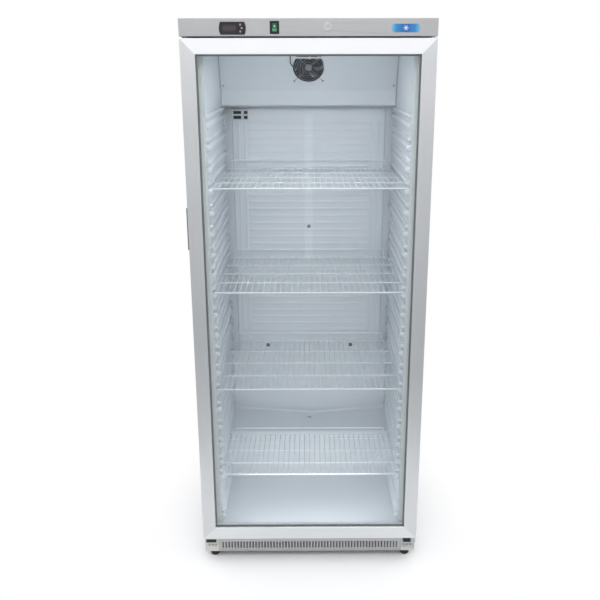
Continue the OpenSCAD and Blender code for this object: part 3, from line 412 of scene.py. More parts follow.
def make_materials():
    """Every slot of the record by name, then the looks that differ from their slot."""
    made = {
        "coated_steel": painted("coated_steel", (0.60, 0.61, 0.62), 0.42),
        "galvanised_steel": spangled_metal("galvanised_steel", (0.55, 0.57, 0.59), 0.42),
        "foam": foam(),
        "liner_plastic": liner_plastic(),
        "evaporator_metal": grained_metal("evaporator_metal", (0.7, 0.72, 0.74), 0.35, ALONG_X),
        "cover_steel": painted("cover_steel", (0.75, 0.782, 0.82), 0.34, 500.0, 0.1),
        "screw_steel": plated_metal("screw_steel", (0.42, 0.42, 0.42), 0.32, 300.0),
        "fan_plastic": moulded("fan_plastic", (0.018, 0.019, 0.022), 0.42),
        "guard_wire": painted("guard_wire", (0.22, 0.22, 0.24), 0.3, 2000.0),
        "lead_rubber": rubbery("lead_rubber", (0.025, 0.025, 0.027), 0.6),
        "holder_plastic": moulded("holder_plastic", (0.62, 0.65, 0.68), 0.4),
        "probe_metal": grained_metal("probe_metal", (0.16, 0.165, 0.17), 0.4, ALONG_X),
        "lamp_plastic": lamp_plastic(),
        "stainless_steel": grained_metal("stainless_steel", (0.56, 0.56, 0.565), 0.34, ALONG_X),
        "controller_plastic": moulded("controller_plastic", (0.012, 0.012, 0.014), 0.34),
        "display_plastic": display_plastic(),
        "key_plastic": moulded("key_plastic", (0.42, 0.33, 0.36), 0.35, 900.0, 0.08),
        "bezel_plastic": moulded("bezel_plastic", (0.010, 0.010, 0.011), 0.3),
        "rocker_plastic": rocker_plastic(),
        "lock_metal": plated_metal("lock_metal", (0.62, 0.62, 0.63), 0.36, 120.0, 0.04),
        "badge_plastic": badge_plastic(),
        "blank_plastic": moulded("blank_plastic", (0.012, 0.012, 0.012), 0.45),
        "hinge_steel": plated_metal("hinge_steel", (0.58, 0.585, 0.59), 0.34, 70.0),
        "rail_aluminium": grained_metal("rail_aluminium", (0.80, 0.81, 0.82), 0.36, ALONG_Z, 0.03),
        "corner_casting": plated_metal("corner_casting", (0.5, 0.5, 0.52), 0.5, 40.0),
        "bush_plastic": moulded("bush_plastic", (0.72, 0.72, 0.66), 0.4),
        "pane_glass": pane_glass(),
        "edge_sealant": sealant(),
        "spacer_metal": plated_metal("spacer_metal", (0.80, 0.82, 0.83), 0.5, 90.0),
        "gasket_vinyl": rubbery("gasket_vinyl", (0.62, 0.63, 0.62), 0.5),
        "grip_plastic": moulded("grip_plastic", (0.13, 0.13, 0.135), 0.45),
        "shelf_wire": painted("shelf_wire", (0.90, 0.93, 0.95), 0.28, 1200.0, 0.1),
        "foot_plastic": moulded("foot_plastic", (0.014, 0.014, 0.014), 0.5),
        "roller_rubber": rubbery("roller_rubber", (0.03, 0.03, 0.03), 0.65),
        "compressor_paint": painted("compressor_paint", (0.014, 0.014, 0.016), 0.3, 300.0, 0.2),
        "mount_rubber": rubbery("mount_rubber", (0.03, 0.03, 0.03), 0.6),
        "copper_tube": plated_metal("copper_tube", (0.62, 0.30, 0.17), 0.3, 50.0, 0.16),
        "drain_plastic": moulded("drain_plastic", (0.62, 0.64, 0.64), 0.45),
        "tray_plastic": moulded("tray_plastic", (0.035, 0.035, 0.038), 0.5),
    }
    # The rails are one aluminium. The bottom rail and the top rail get brighter copies of it:
    # painted sheen on the bottom rail, and a painted highlight on the top rail, which is also less
    # metallic. Both stand in for the light that their level grain would catch.
    made["rail_level_painted_sheen"] = grained_metal("rail_level_painted_sheen", (0.91, 0.92, 0.915), 0.36, ALONG_X, 0.03)
    made["rail_top_painted_highlight"] = grained_metal("rail_top_painted_highlight", (0.96, 0.965, 0.98), 0.4, ALONG_X, 0.02)
    bright = made["rail_top_painted_highlight"].node_tree.nodes["Principled BSDF"]
    bright.inputs["Metallic"].default_value = 0.6
    # Darker copy of the shelf coating for the thin wires. This is painted shade: the shelf is one
    # colour.
    made["rod_wire"] = painted("rod_wire", (0.80, 0.84, 0.88), 0.34, 1200.0, 0.1)
    made["end_cap"] = painted("end_cap", (0.60, 0.60, 0.56), 0.4, 600.0, 0.15)
    # The breaker strip's plastic, brighter than the liner. This is painted light for the shaded gap
    # behind the door frame.
    made["strip_painted_light"] = moulded("strip_painted_light", (0.93, 0.965, 0.945), 0.36, 900.0, 0.08, 0.02)
    return made


materials = make_materials()


# ---------------------------------------------------------------- carried-over CAD nodes

# Edge rounding in millimetres; nodes left out keep their sharp edges
BEVELS = {
    "outer_shell": 0, "rear_panel": 0.5, "step_panel": 0.5, "top_cover": 0.9, "breaker_strip": 0.9,
    "fan_cover": 0, "fan_frame": 0.8, "probe_holder": 0.5, "lamp": 1.2, "control_panel": 1.1,
    "controller_case": 0.6, "display_window": 0.3, "key_up": 0.35, "key_set": 0.35,
    "key_down": 0.35, "switch_bezel": 0.8, "light_rocker": 0.7, "lock_barrel": 0.6,
    "lock_plug": 0.3, "badge": 0.5, "hinge_blanks": 0.5, "upper_hinge": 0.5, "lower_hinge": 0.6,
    "door_stop": 0.8, "rail_left": 0.35, "rail_right": 0.35, "rail_top": 0.35,
    "rail_bottom": 0.35, "corner_keys": 0.6, "hinge_bushes": 0.4, "pane_seal": 0.15,
    "spacer_bar": 0.2, "door_gasket": 0.5, "side_grip": 0.5, "base_frame": 0.4,
    "plinth_grille": 0.25, "plinth_ends": 0.5, "foot_left": 0.6, "foot_right": 0.6,
    "roller_left": 1.2, "roller_right": 1.2, "compressor": 0.6, "compressor_mounts": 0.8,
    "evaporation_tray": 1.2, "leads": 0.4, "screws": 0.25,
}
BEVEL_ANGLE = math.radians(32)
FOLD_ANGLE = math.radians(18)
WELD_GAP = 0.002
NODE_LOOKS = {
    # rail_bottom and rail_top take the brighter rail copies: painted sheen and painted highlight.
    "rail_bottom": "rail_level_painted_sheen", "rail_top": "rail_top_painted_highlight", "plinth_ends": "end_cap",
    # The breaker strip's brighter look is painted light.
    "breaker_strip": "strip_painted_light",
}


def soften(obj, width):
    """Rounded edges by modifiers only, after a weld; at width 0 the folds stay crisp."""
    mesh = obj.data
    for name in ("custom_normal", "sharp_edge"):
        if name in mesh.attributes:
            mesh.attributes.remove(mesh.attributes[name])
    mesh.polygons.foreach_set("use_smooth", [True] * len(mesh.polygons))
    weld = obj.modifiers.new("weld", "WELD")
    weld.merge_threshold = WELD_GAP * MM
    if not width:
        split = obj.modifiers.new("split", "EDGE_SPLIT")
        split.split_angle = FOLD_ANGLE
        return
    bevel = obj.modifiers.new("bevel", "BEVEL")
    bevel.width = width * MM
    bevel.segments = 2
    bevel.limit_method = "ANGLE"
    bevel.angle_limit = BEVEL_ANGLE
    bevel.use_clamp_overlap = False
    bevel.harden_normals = True


def dress_nodes():
    """Gives each CAD node its material, and a softened edge where it has sharp ones."""
    for part in frame["record"]["subparts"]:
        name = part["node"]
        look = NODE_LOOKS.get(name, part["material_slot"])
        obj = nodes[name]
        for index in range(len(obj.data.materials)):
            obj.data.materials[index] = materials[look]
        if name in BEVELS:
            soften(obj, BEVELS[name])


# ---------------------------------------------------------------- mesh helpers

def piece(name, verts, faces, look, body, replaced=(), slot=None):
    """A smooth-shaded mesh in the row frame, riding on a body."""
    mesh = bpy.data.meshes.new(name)
    mesh.from_pydata([tuple(v) for v in verts], [], faces)
    bm = bmesh.new()
    bm.from_mesh(mesh)
    bmesh.ops.remove_doubles(bm, verts=bm.verts, dist=0.000005)
    bm.to_mesh(mesh)
    bm.free()
    mesh.materials.append(materials[look])
    mesh.polygons.foreach_set("use_smooth", [True] * len(mesh.polygons))
    mesh.set_sharp_from_angle(angle=math.radians(40))
    obj = bpy.data.objects.new(name, mesh)
    bpy.context.scene.collection.objects.link(obj)
    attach(obj, body)
    if replaced:
        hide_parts(*replaced)
    return obj


def grid_faces(rows, columns, flip=False):
    """Quads of a grid whose vertices are listed row by row."""
    faces = []
    for i in range(rows - 1):
        for j in range(columns - 1):
            a, b = i * columns + j, (i + 1) * columns + j
            quad = (a, a + 1, b + 1, b)
            faces.append(quad[::-1] if flip else quad)
    return faces


def liner_sheet(name, verts, faces, thickness):
    """One pressed sheet of the liner, thickened away from the cabinet's inside."""
    obj = piece(name, verts, faces, "liner_plastic", "cabinet", ("liner",))
    solid = obj.modifiers.new("sheet", "SOLIDIFY")
    solid.thickness = thickness * MM
    solid.offset = -1.0
    solid.use_even_offset = False


def rounded_path(points, bend, steps=6):
    """The polyline with each inner corner replaced by a curve that starts bend before it."""
    path = [points[0]]
    for before, corner, after in zip(points, points[1:], points[2:]):
        a, b = before - corner, after - corner
        reach = min(bend * MM, a.length * 0.49, b.length * 0.49)
        start, end = corner + a.normalized() * reach, corner + b.normalized() * reach
        for i in range(steps + 1):
            t = i / steps
            path.append(start * (1 - t) ** 2 + corner * 2 * t * (1 - t) + end * t * t)
    path.append(points[-1])
    return path


def wire(points, radius, sides=12, bend=0.0):
    """Vertices and faces of a round wire with domed ends."""
    path = rounded_path(points, bend) if bend else list(points)
    r = radius * MM
    first, last = (path[1] - path[0]).normalized(), (path[-1] - path[-2]).normalized()
    stations = [(path[0] - first * r * s, r * k) for s, k in ((0.95, 0.3), (0.7, 0.71))]
    stations += [(p, r) for p in path]
    stations += [(path[-1] + last * r * s, r * k) for s, k in ((0.7, 0.71), (0.95, 0.3))]
    verts, faces = [], []
    side = first.orthogonal().normalized()
    for i, (centre, ring_r) in enumerate(stations):
        ahead = stations[min(i + 1, len(stations) - 1)][0] - stations[max(i - 1, 0)][0]
        ahead.normalize()
        side = (side - ahead * side.dot(ahead)).normalized()
        up = ahead.cross(side)
        for k in range(sides):
            turn = 2 * math.pi * k / sides
            verts.append(centre + (side * math.cos(turn) + up * math.sin(turn)) * ring_r)
    for i in range(len(stations) - 1):
        for k in range(sides):
            n = (k + 1) % sides
            faces.append((i * sides + k, i * sides + n, (i + 1) * sides + n, (i + 1) * sides + k))
    faces.append(tuple(reversed(range(sides))))
    faces.append(tuple(range((len(stations) - 1) * sides, len(stations) * sides)))
    return verts, faces


def gather(parts):
    """Several vertex and face lists as one."""
    verts, faces = [], []
    for part_verts, part_faces in parts:
        base = len(verts)
        verts += part_verts
        faces += [tuple(base + i for i in face) for face in part_faces]
    return verts, faces


def lathe(profile, place, steps=48):
    """Surface of revolution of (radius, height) points; place(x, y, z) puts each in the frame."""
    verts = []
    for r, h in profile:
        for k in range(steps):
            turn = 2 * math.pi * k / steps
            verts.append(place(r * math.cos(turn), r * math.sin(turn), h))
    faces = []
    for i in range(len(profile) - 1):
        for k in range(steps):
            n = (k + 1) % steps
            faces.append((i * steps + k, i * steps + n, (i + 1) * steps + n, (i + 1) * steps + k))
    return verts, faces


# ---------------------------------------------------------------- liner

# A ledge is a pair of ribs: middle above its level, half height, and how far it stands proud
RIB_LOW = (-1.0, 8.2, 10.5)
RIB_HIGH = (26.5, 5.2, 8.5)
RIB_STEPS = (0, 0.25, 0.55, 0.8, 0.93, 0.985, 1)
# Their front ends: where they start, how long the nose is, and the knob's extra share
NOSE_D = 72.0
NOSE_LEN = 6.0
NOSE_STEPS = (0, 0.02, 0.07, 0.16, 0.3, 0.5, 0.75, 1)
KNOB = 0.45
KNOB_SPREAD = 6.0
COVE_R = 9.0
WALL_SHEET = 2.2
SHEET = 2.0


def hump_profile(t, power=2.6):
    """Height of a rounded rib at t from its middle, where 1 is its edge."""
    return (1 - abs(t) ** power) ** (1 / power) if abs(t) < 1 else 0.0


def ledge_proud(z, d):
    """How far the side wall's ribs stand into the cabinet."""
    best = 0.0
    for level in LEDGES:
        for centre, half, proud in (RIB_LOW, RIB_HIGH):
            t = (z - level - centre) / half
            if abs(t) < 1:
                best = max(best, proud * hump_profile(t))
    reach = (d - NOSE_D) / NOSE_LEN
    if reach <= 0:
        return 0.0
    knob = 1 + KNOB * math.exp(-((d - NOSE_D - NOSE_LEN) / KNOB_SPREAD) ** 2)
    return best * knob * (math.sqrt(1 - (1 - reach) ** 2) if reach < 1 else 1.0)


def wall_rows():
    """Heights of the side wall's vertices, close together on the ribs."""
    rows = {FLOOR_Z, LIP_Z, CEILING_Z, CEILING_Z - 3, PAD_Z0 - 0.5, PAD_Z0 + 0.5,
            HUMP_Z + 26, HUMP_Z - 20}
    for level in LEDGES:
        for centre, half, _ in (RIB_LOW, RIB_HIGH):
            rows |= {round(level + centre + half * t, 3) for t in mirrored(RIB_STEPS)}
    return sorted(rows)


def wall_back(z):
    """Where the side wall ends: at the step, at the back wall, or in the channel."""
    if z < HUMP_Z - 15:
        return HUMP_D + 1
    return BACK_D + 1 if z < PAD_Z0 else BACK_D + CHANNEL_IN


def side_wall(side, name):
    """One side wall with its pairs of ledge ribs and their rounded noses."""
    depths = [LINER_D0, LINER_D0 + 4] + [NOSE_D + NOSE_LEN * s for s in NOSE_STEPS]
    depths += [NOSE_D + NOSE_LEN + s for s in (2, 4, 6, 9, 13)]
    depths += [130, 200, 280, 350, 413, 440, 500, 560, BACK_D + CHANNEL_IN]
    rows = wall_rows()
    verts = []
    for z in rows:
        for d in depths:
            near = min(d, wall_back(z))
            verts.append(at(side * (INNER_HW - ledge_proud(z, near)), near, z))
    liner_sheet(name, verts, grid_faces(len(rows), len(depths), flip=side < 0), WALL_SHEET)


def cove(x):
    """Lift of a sheet where it curves up into the side walls."""
    gap = INNER_HW - abs(x)
    if gap >= COVE_R:
        return 0.0
    return COVE_R - math.sqrt(max(0.0, COVE_R ** 2 - (COVE_R - gap) ** 2))


COVE_X = [INNER_HW - COVE_R * s for s in (0, 0.04, 0.15, 0.33, 0.6, 1)]


def mirrored(values):
    """The values and their negatives, in order."""
    return sorted({-v for v in values} | set(values))


def smooth_step(t):
    """From 0 to 1 with level ends, as t goes from 0 to 1."""
    t = max(0.0, min(1.0, t))
    return t * t * (3 - 2 * t)


# The pad's ribs: level rows that end at ROW_HW, and two upright runs on each side of them
UPRIGHT_RIBS = (245.0, 270.0)
UPRIGHT_HALF = 5.0
ROW_HW = 236.0
ROW_FADE = 8.0
RIB_PITCH = 28.0
RIB_HALF = 6.0
RIB_UP = 1.7
RIB_ROWS = 31
RIB_Z0 = PAD_Z0 + 99
RIB_Z1 = RIB_Z0 + RIB_PITCH * (RIB_ROWS - 1)


def pad_relief(x, z):
    """Ribs pressed into the pad: level rows with two upright runs at each end."""
    ax = abs(x)
    rows = round((z - RIB_Z0) / RIB_PITCH) * RIB_PITCH + RIB_Z0
    height = 0.0
    if RIB_Z0 - 1 <= rows <= RIB_Z1 + 1 and ax < ROW_HW:
        height = hump_profile((z - rows) / RIB_HALF, 2.0) * smooth_step((ROW_HW - ax) / ROW_FADE)
    if RIB_Z0 - RIB_HALF < z < RIB_Z1 + RIB_HALF:
        low_end, high_end = z - RIB_Z0 + RIB_HALF, RIB_Z1 + RIB_HALF - z
        ends = smooth_step(low_end / RIB_HALF) * smooth_step(high_end / RIB_HALF)
        for rib in UPRIGHT_RIBS:
            height = max(height, hump_profile((ax - rib) / UPRIGHT_HALF, 2.0) * ends)
    return RIB_UP * height


def back_depth(x, z):
    """Depth of the back wall: channels beside the raised pad, its ribs, and coves at the sides."""
    ax = abs(x)
    d = BACK_D
    if z > PAD_Z0:
        d += CHANNEL_IN * max(0.0, min(1.0, (ax - PAD_HW - 2) / 23)) * smooth_step((z - PAD_Z0) / 5)
    over = min(smooth_step((PAD_HW - ax) / 5), smooth_step((z - PAD_Z0) / 9),
               smooth_step((PAD_Z1 - z) / 9))
    d -= PAD_PROUD * over
    if over > 0.99:
        d -= pad_relief(x, z)
    return d - cove(x)


def back_wall():
    """The back wall above the step, with its raised and ribbed pad."""
    edge = [PAD_HW + s for s in (0, -1.2, -2.5, -3.8, -5, 2, 25)]
    ribs = [rib + s for rib in UPRIGHT_RIBS for s in mirrored((0, 1.8, 3.5, 4.6, UPRIGHT_HALF))]
    columns = mirrored(COVE_X + edge + ribs + [0, 60, 120, 172, 200, 228, 232, ROW_HW])
    rows = {HUMP_Z - 6, HUMP_Z + 30, 420, 520, 600, CEILING_Z}
    for z in (PAD_Z0, PAD_Z1 - 9):
        rows |= {z + s for s in (0, 1.5, 3, 4.5, 6, 7.5, 9)}
    for i in range(RIB_ROWS):
        rows |= {RIB_Z0 + i * RIB_PITCH + s for s in mirrored((0, 2, 4, 5.4, RIB_HALF))}
    rows |= {RIB_Z1 + 6, RIB_Z1 + 3, RIB_Z1, 1640, 1700, 1760}
    rows = sorted(rows)
    verts = [at(x, back_depth(x, z), z) for z in rows for x in columns]
    liner_sheet("liner_back", verts, grid_faces(len(rows), len(columns)), SHEET)


# The step's top rises by FALL from FALL_D to its back corners; the drain's hole is cut in it
FALL = 25.0
FALL_D = 445.0
DRAIN_HW = 17.0
# Radius and drop below the sheet of each ring of the drain's mouth
DRAIN_RINGS = ((13, 0.6), (10.5, 2.2), (8.6, 4.5), (8.1, 8), (8.1, 22))


def arc_points(d, z, radius, start, stop, steps=6):
    """Depth, height and the outward normal's depth and height, along an arc."""
    out = []
    for i in range(steps + 1):
        a = math.radians(start + (stop - start) * i / steps)
        out.append((d + radius * math.cos(a), z + radius * math.sin(a), math.cos(a), math.sin(a)))
    return out


def floor_profile():
    """Side view of floor and step, each point with the direction of the cabinet's inside."""
    low_r, top_r, back_r = 9.0, 15.0, 8.0
    points = [(d, FLOOR_Z, 0, 1) for d in (LINER_D0, 68, 200, 340)]
    for d, z, nd, nz in arc_points(HUMP_D - low_r, FLOOR_Z + low_r, low_r, -90, 0):
        points.append((d, z, -nd, -nz))
    points.append((HUMP_D, 220, -1, 0))
    points += arc_points(HUMP_D + top_r, HUMP_Z - top_r, top_r, 180, 90)
    drain = [DRAIN_D + s for s in (-16, -8, 0, 8, 16)]
    points += [(d, HUMP_Z, 0, 1) for d in [FALL_D, 480, 515] + drain + [584]]
    for d, z, nd, nz in arc_points(BACK_D - back_r, HUMP_Z + back_r, back_r, -90, 0):
        points.append((d, z, -nd, -nz))
    return points


def drain_fall(x, d, z):
    """Rise of the step's top towards its back corners, so that it drains to the middle."""
    if z < HUMP_Z - 1 or d < FALL_D:
        return 0.0
    return FALL * max(0.0, (abs(x) - 12) / INNER_HW) * (d - FALL_D) / (BACK_D - FALL_D)


def drain_mouth(verts, outer):
    """Adds the rolled edge and the throat of the drain below a loop of vertices in the sheet."""
    rings = [outer]
    for radius, drop in DRAIN_RINGS:
        ring = []
        for key in outer:
            flat = Vector((verts[key].x, verts[key].y - at(0, DRAIN_D, 0).y, 0)).normalized()
            ring.append(len(verts))
            verts.append(at(0, DRAIN_D, HUMP_Z - drop) + flat * radius * MM)
        rings.append(ring)
    count = len(outer)
    return [(a[k], a[(k + 1) % count], b[(k + 1) % count], b[k])
            for a, b in zip(rings, rings[1:]) for k in range(count)]


def liner_floor():
    """Floor, step and its sloped top with the drain mouth, as one pressed sheet."""
    columns = mirrored(COVE_X + [8, 16, 24, 60, 120, 180, 240, 300] + [0])
    profile = floor_profile()
    verts, index = [], {}
    for i, (d, z, nd, nz) in enumerate(profile):
        for j, x in enumerate(columns):
            lift = cove(x)
            index[i, j] = len(verts)
            verts.append(at(x, d + nd * lift, z + nz * lift + drain_fall(x, d, z)))
    faces = []
    hole = [i for i, p in enumerate(profile) if abs(p[0] - DRAIN_D) < DRAIN_HW and p[3] == 1]
    middle = [j for j, x in enumerate(columns) if abs(x) < DRAIN_HW]
    for i in range(len(profile) - 1):
        for j in range(len(columns) - 1):
            inside = hole[0] <= i < hole[-1] and middle[0] <= j < middle[-1]
            if not inside:
                faces.append((index[i, j], index[i, j + 1], index[i + 1, j + 1], index[i + 1, j]))
    loop = [(hole[0], j) for j in middle[:-1]] + [(i, middle[-1]) for i in hole[:-1]]
    loop += [(hole[-1], j) for j in reversed(middle[1:])]
    loop += [(i, middle[0]) for i in reversed(hole[1:])]
    faces += drain_mouth(verts, [index[key] for key in loop])
    liner_sheet("liner_floor", verts, faces, SHEET)


def liner_ceiling():
    """Ceiling with the lowered lip behind the door and a rolled edge between them."""
    lip_d, lip_r, back_r = 73, 4, 8
    profile = [(LINER_D0, LIP_Z, 0, -1)]
    profile += arc_points(lip_d - lip_r, LIP_Z + lip_r, lip_r, -90, 0, 4)
    for d, z, nd, nz in arc_points(lip_d + lip_r, CEILING_Z - lip_r, lip_r, 180, 90, 4):
        profile.append((d, z, -nd, -nz))
    profile += [(d, CEILING_Z, 0, -1) for d in (160, 300, 450, 585)]
    back_d = BACK_D + CHANNEL_IN - back_r
    for d, z, nd, nz in arc_points(back_d, CEILING_Z - back_r, back_r, 90, 0, 4):
        profile.append((d, z, -nd, -nz))
    columns = mirrored(COVE_X + [0, 110, 220, 300])
    verts = []
    for d, z, nd, nz in profile:
        for x in columns:
            verts.append(at(x, d + nd * cove(x), z + nz * cove(x)))
    faces = grid_faces(len(profile), len(columns), flip=True)
    liner_sheet("liner_ceiling", verts, faces, SHEET)


def liner_rim():
    """Flange of the liner behind the white strip, as a ring of four strips."""
    rings = []
    for grow, back in ((0.0, 6), (0.6, 1.2), (2.0, 0), (14.6, 0), (15, 2)):
        hw, d = INNER_HW + grow, LINER_D0 + back
        z0, z1 = FLOOR_Z + 1 - min(grow, 10), LIP_Z + min(grow, 10)
        rings.append([at(-hw, d, z0), at(hw, d, z0), at(hw, d, z1), at(-hw, d, z1)])
    verts = [p for ring in rings for p in ring]
    faces = []
    for i in range(len(rings) - 1):
        for k in range(4):
            n = (k + 1) % 4
            faces.append((i * 4 + k, (i + 1) * 4 + k, (i + 1) * 4 + n, i * 4 + n))
    piece("liner_rim", verts, faces, "liner_plastic", "cabinet", ("liner",))


def build_liner():
    """All sheets of the liner."""
    side_wall(-1, "liner_wall_left")
    side_wall(1, "liner_wall_right")
    back_wall()
    liner_floor()
    liner_ceiling()
    liner_rim()


# ---------------------------------------------------------------- shelves

# Radii of the cross wires, the thin wires and the rail at the back
THICK_R = 2.75
THIN_R = 1.6
RAIL_R = 2.45
WIRE_COUNT = 33
WIRE_HW = 314.5
UPSTAND_HW = 297.5
# Where the cross wires lie, from the front (0) to the back (1)
FULL_CROSSES = [i / 4 for i in range(5)]
HALF_CROSSES = [0, 84 / 304, 180 / 304, 278 / 304, 1]
PAD_SCREWS = ((-172, 641), (172, 641), (0, 1145))


def wire_shelf(number, crosses):
    """Dip-coated wire shelf: cross wires under, thin wires over them, bent rail at the back."""
    name = f"shelf_{number}"
    lo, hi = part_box(name)
    front, back = (lo.y - FRONT) / MM + THICK_R, (hi.y - FRONT) / MM - 3 - RAIL_R
    z = lo.z / MM + THICK_R
    half = hi.x / MM
    parts = []
    for share in crosses:
        d = front + share * (back - front)
        parts.append(wire([at(-half + 2.6, d, z), at(half - 2.6, d, z)], THICK_R, 14))
    top = z + THICK_R + THIN_R - 0.4
    rods = []
    for i in range(WIRE_COUNT):
        x = -WIRE_HW + 2 * WIRE_HW * i / (WIRE_COUNT - 1)
        bent = [at(x, front + 0.5, top - 1.0), at(x, front + 6, top), at(x, back + 1.5, top)]
        rods.append(wire(bent, THIN_R, 10, 4))
    lift = hi.z / MM - RAIL_R
    rail = [(-UPSTAND_HW, z - 1), (-UPSTAND_HW, lift), (UPSTAND_HW, lift), (UPSTAND_HW, z - 1)]
    parts.append(wire([at(x, back + 3, height) for x, height in rail], RAIL_R, 14, 9))
    piece(f"wire_{name}", *gather(parts), "shelf_wire", name, (name,))
    # The thin wires take the darker copy of the shelf coating, which is painted shade.
    piece(f"rods_{name}", *gather(rods), "rod_wire", name, (name,), "shelf_wire")


def wall_washers():
    """Dark rubber washers under the back pad's screws."""
    ring = [(4.05, 0.1), (4.05, 1.0), (4.3, 1.25), (6.4, 1.25), (6.9, 1.0), (7.1, 0.5), (7.1, 0.05),
            (4.05, 0.1)]
    parts = []
    for x, z in PAD_SCREWS:
        parts.append(lathe(ring, lambda u, v, h: at(x + u, BACK_D - PAD_PROUD - h, z + v), 28))
    piece("wall_washers", *gather(parts), "lead_rubber", "cabinet")


def holder_painted_shade():
    """Dark sheet with round corners behind the four openings of the probe holder. It is painted
    shade, put where there is only the shadowed hollow behind them.
    """
    lo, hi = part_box("probe_holder")
    corner = 2.0
    inset = 3.4 + corner
    x0, x1, z0, z1 = lo.x / MM + inset, hi.x / MM - inset, lo.z / MM + inset, hi.z / MM - inset
    outline = []
    for cx, cz, start in ((x1, z1, 0), (x0, z1, 90), (x0, z0, 180), (x1, z0, 270)):
        for i in range(5):
            turn = math.radians(start + 22.5 * i)
            outline.append((cx + corner * math.cos(turn), cz + corner * math.sin(turn)))
    count = len(outline)
    verts = [at(x, d, z) for d in (586.6, 587.3) for x, z in outline]
    faces = [tuple(range(count)), tuple(reversed(range(count, 2 * count)))]
    faces += [(k, (k + 1) % count, count + (k + 1) % count, count + k) for k in range(count)]
    piece("holder_painted_shade", verts, faces, "lead_rubber", "cabinet")


def build_shelves():
    """Three shelves with evenly spread cross wires and the lowest one with its own spacing."""
    for number in (1, 2, 3):
        wire_shelf(number, FULL_CROSSES)
    wire_shelf(4, HALF_CROSSES)


# ---------------------------------------------------------------- fan wheel

BLADES = 7
WHEEL_BASE = -27.1
HUB_R = 19.0
BLADE_LEN = 33.6
BLADE_THICK = 0.9


def fan_place(x, y, z):
    """A point of the tilted fan's own frame, z towards the inside of the cabinet."""
    centre = at(0, FAN_D, FAN_Z)
    up = Vector((0, -math.sin(FAN_TILT), math.cos(FAN_TILT)))
    out = Vector((0, -math.cos(FAN_TILT), -math.sin(FAN_TILT)))
    return centre + Vector((x * MM, 0, 0)) + up * (y * MM) + out * ((z + WHEEL_BASE) * MM)


def blade(turn):
    """One swept blade as a closed thin shell."""
    spans, chords = 8, 8
    rows = []
    for face in (0, 1):
        for i in range(spans + 1):
            r = HUB_R + BLADE_LEN * i / spans
            for j in range(chords + 1):
                t = j / chords
                angle = turn + 0.34 * (i / spans) ** 1.6 + (t - 0.5) * (0.78 - 0.12 * i / spans)
                height = 6.2 + 13.5 * (t ** 0.8) + face * BLADE_THICK
                rows.append(fan_place(r * math.cos(angle), r * math.sin(angle), height))
    width = chords + 1
    half = (spans + 1) * width
    faces = grid_faces(spans + 1, width, True)
    faces += [tuple(half + v for v in f) for f in grid_faces(spans + 1, width)]
    rim = list(range(width)) + [i * width + chords for i in range(1, spans + 1)]
    rim += [spans * width + j for j in reversed(range(chords))]
    rim += [i * width for i in reversed(range(1, spans))]
    for a, b in zip(rim, rim[1:] + rim[:1]):
        faces.append((a, b, half + b, half + a))
    return rows, faces


def fan_wheel():
    """Rotor: domed hub and swept blades."""
    hub = lathe([(0.01, 21.6), (6, 21.6), (14, 21.3), (18, 20.4), (19.6, 18.6), (20, 16), (20, 4.6),
                 (19.4, 4), (17, 4), (17, 5), (3, 5), (3, 0.2), (2.6, 0), (0.01, 0)], fan_place)
    verts, faces = gather([hub] + [blade(2 * math.pi * i / BLADES) for i in range(BLADES)])
    piece("fan_wheel", verts, faces, "fan_plastic", "fan", ("fan_rotor",))


# ---------------------------------------------------------------- stage, light and camera

def from_centre(tree, squeeze=(1.0, 1.0, 1.0)):
    """Distance from the origin in metres, with the axes squeezed."""
    scaled = tree.nodes.new("ShaderNodeVectorMath")
    scaled.operation = "MULTIPLY"
    scaled.inputs[1].default_value = squeeze
    tree.links.new(object_place(tree), scaled.inputs[0])
    length = tree.nodes.new("ShaderNodeVectorMath")
    length.operation = "LENGTH"
    tree.links.new(scaled.outputs[0], length.inputs[0])
    return length.outputs["Value"]


def matt(tree, color):
    """A diffuse shader."""
    shader = tree.nodes.new("ShaderNodeBsdfDiffuse")
    shader.inputs["Color"].default_value = (*color, 1)
    return shader.outputs[0]


def floor_seen(tree):
    """What the camera sees: pale paper with the cabinet's shadow, running out to plain white."""
    white = tree.nodes.new("ShaderNodeEmission")
    white.inputs["Color"].default_value = (1, 1, 1, 1)
    away = remap(tree, from_centre(tree, (1.6, 1.0, 1.0)), 0.0, 1.0, 0.60, 1.0)
    return blend(tree, away, matt(tree, (0.90, 0.90, 0.905)), white.outputs[0])


def floor_felt(tree):
    """What lights and mirrors get: grey paper, then a glow that grows with the distance."""
    glow = tree.nodes.new("ShaderNodeEmission")
    greys = ((0.0, (0.36, 0.375, 0.38)), (0.2, (0.44, 0.455, 0.465)), (1.0, (0.56, 0.57, 0.59)))
    spread = remap(tree, from_centre(tree), 0.0, 1.0, 2.0, 12.0)
    tree.links.new(ramp(tree, spread, greys), glow.inputs["Color"])
    away = remap(tree, from_centre(tree), 0.0, 1.0, 1.2, 1.75)
    return blend(tree, away, matt(tree, (0.68, 0.685, 0.69)), glow.outputs[0])


def stage_floor():
    """Pale floor that shades softly near the cabinet and runs out to plain white."""
    mesh = bpy.data.meshes.new("stage_floor")
    half = 14.0
    corners = [(-half, -half, 0), (half, -half, 0), (half, half, 0), (-half, half, 0)]
    mesh.from_pydata(corners, [], [(0, 1, 2, 3)])
    floor = bpy.data.objects.new("stage_floor", mesh)
    bpy.context.scene.collection.objects.link(floor)
    mat = bpy.data.materials.new("stage_floor")
    mat.use_nodes = True
    tree = mat.node_tree
    tree.nodes.clear()
    out = tree.nodes.new("ShaderNodeOutputMaterial")
    both = blend(tree, light_path(tree, "Is Camera Ray"), floor_felt(tree), floor_seen(tree))
    tree.links.new(both, out.inputs["Surface"])
    mesh.materials.append(mat)


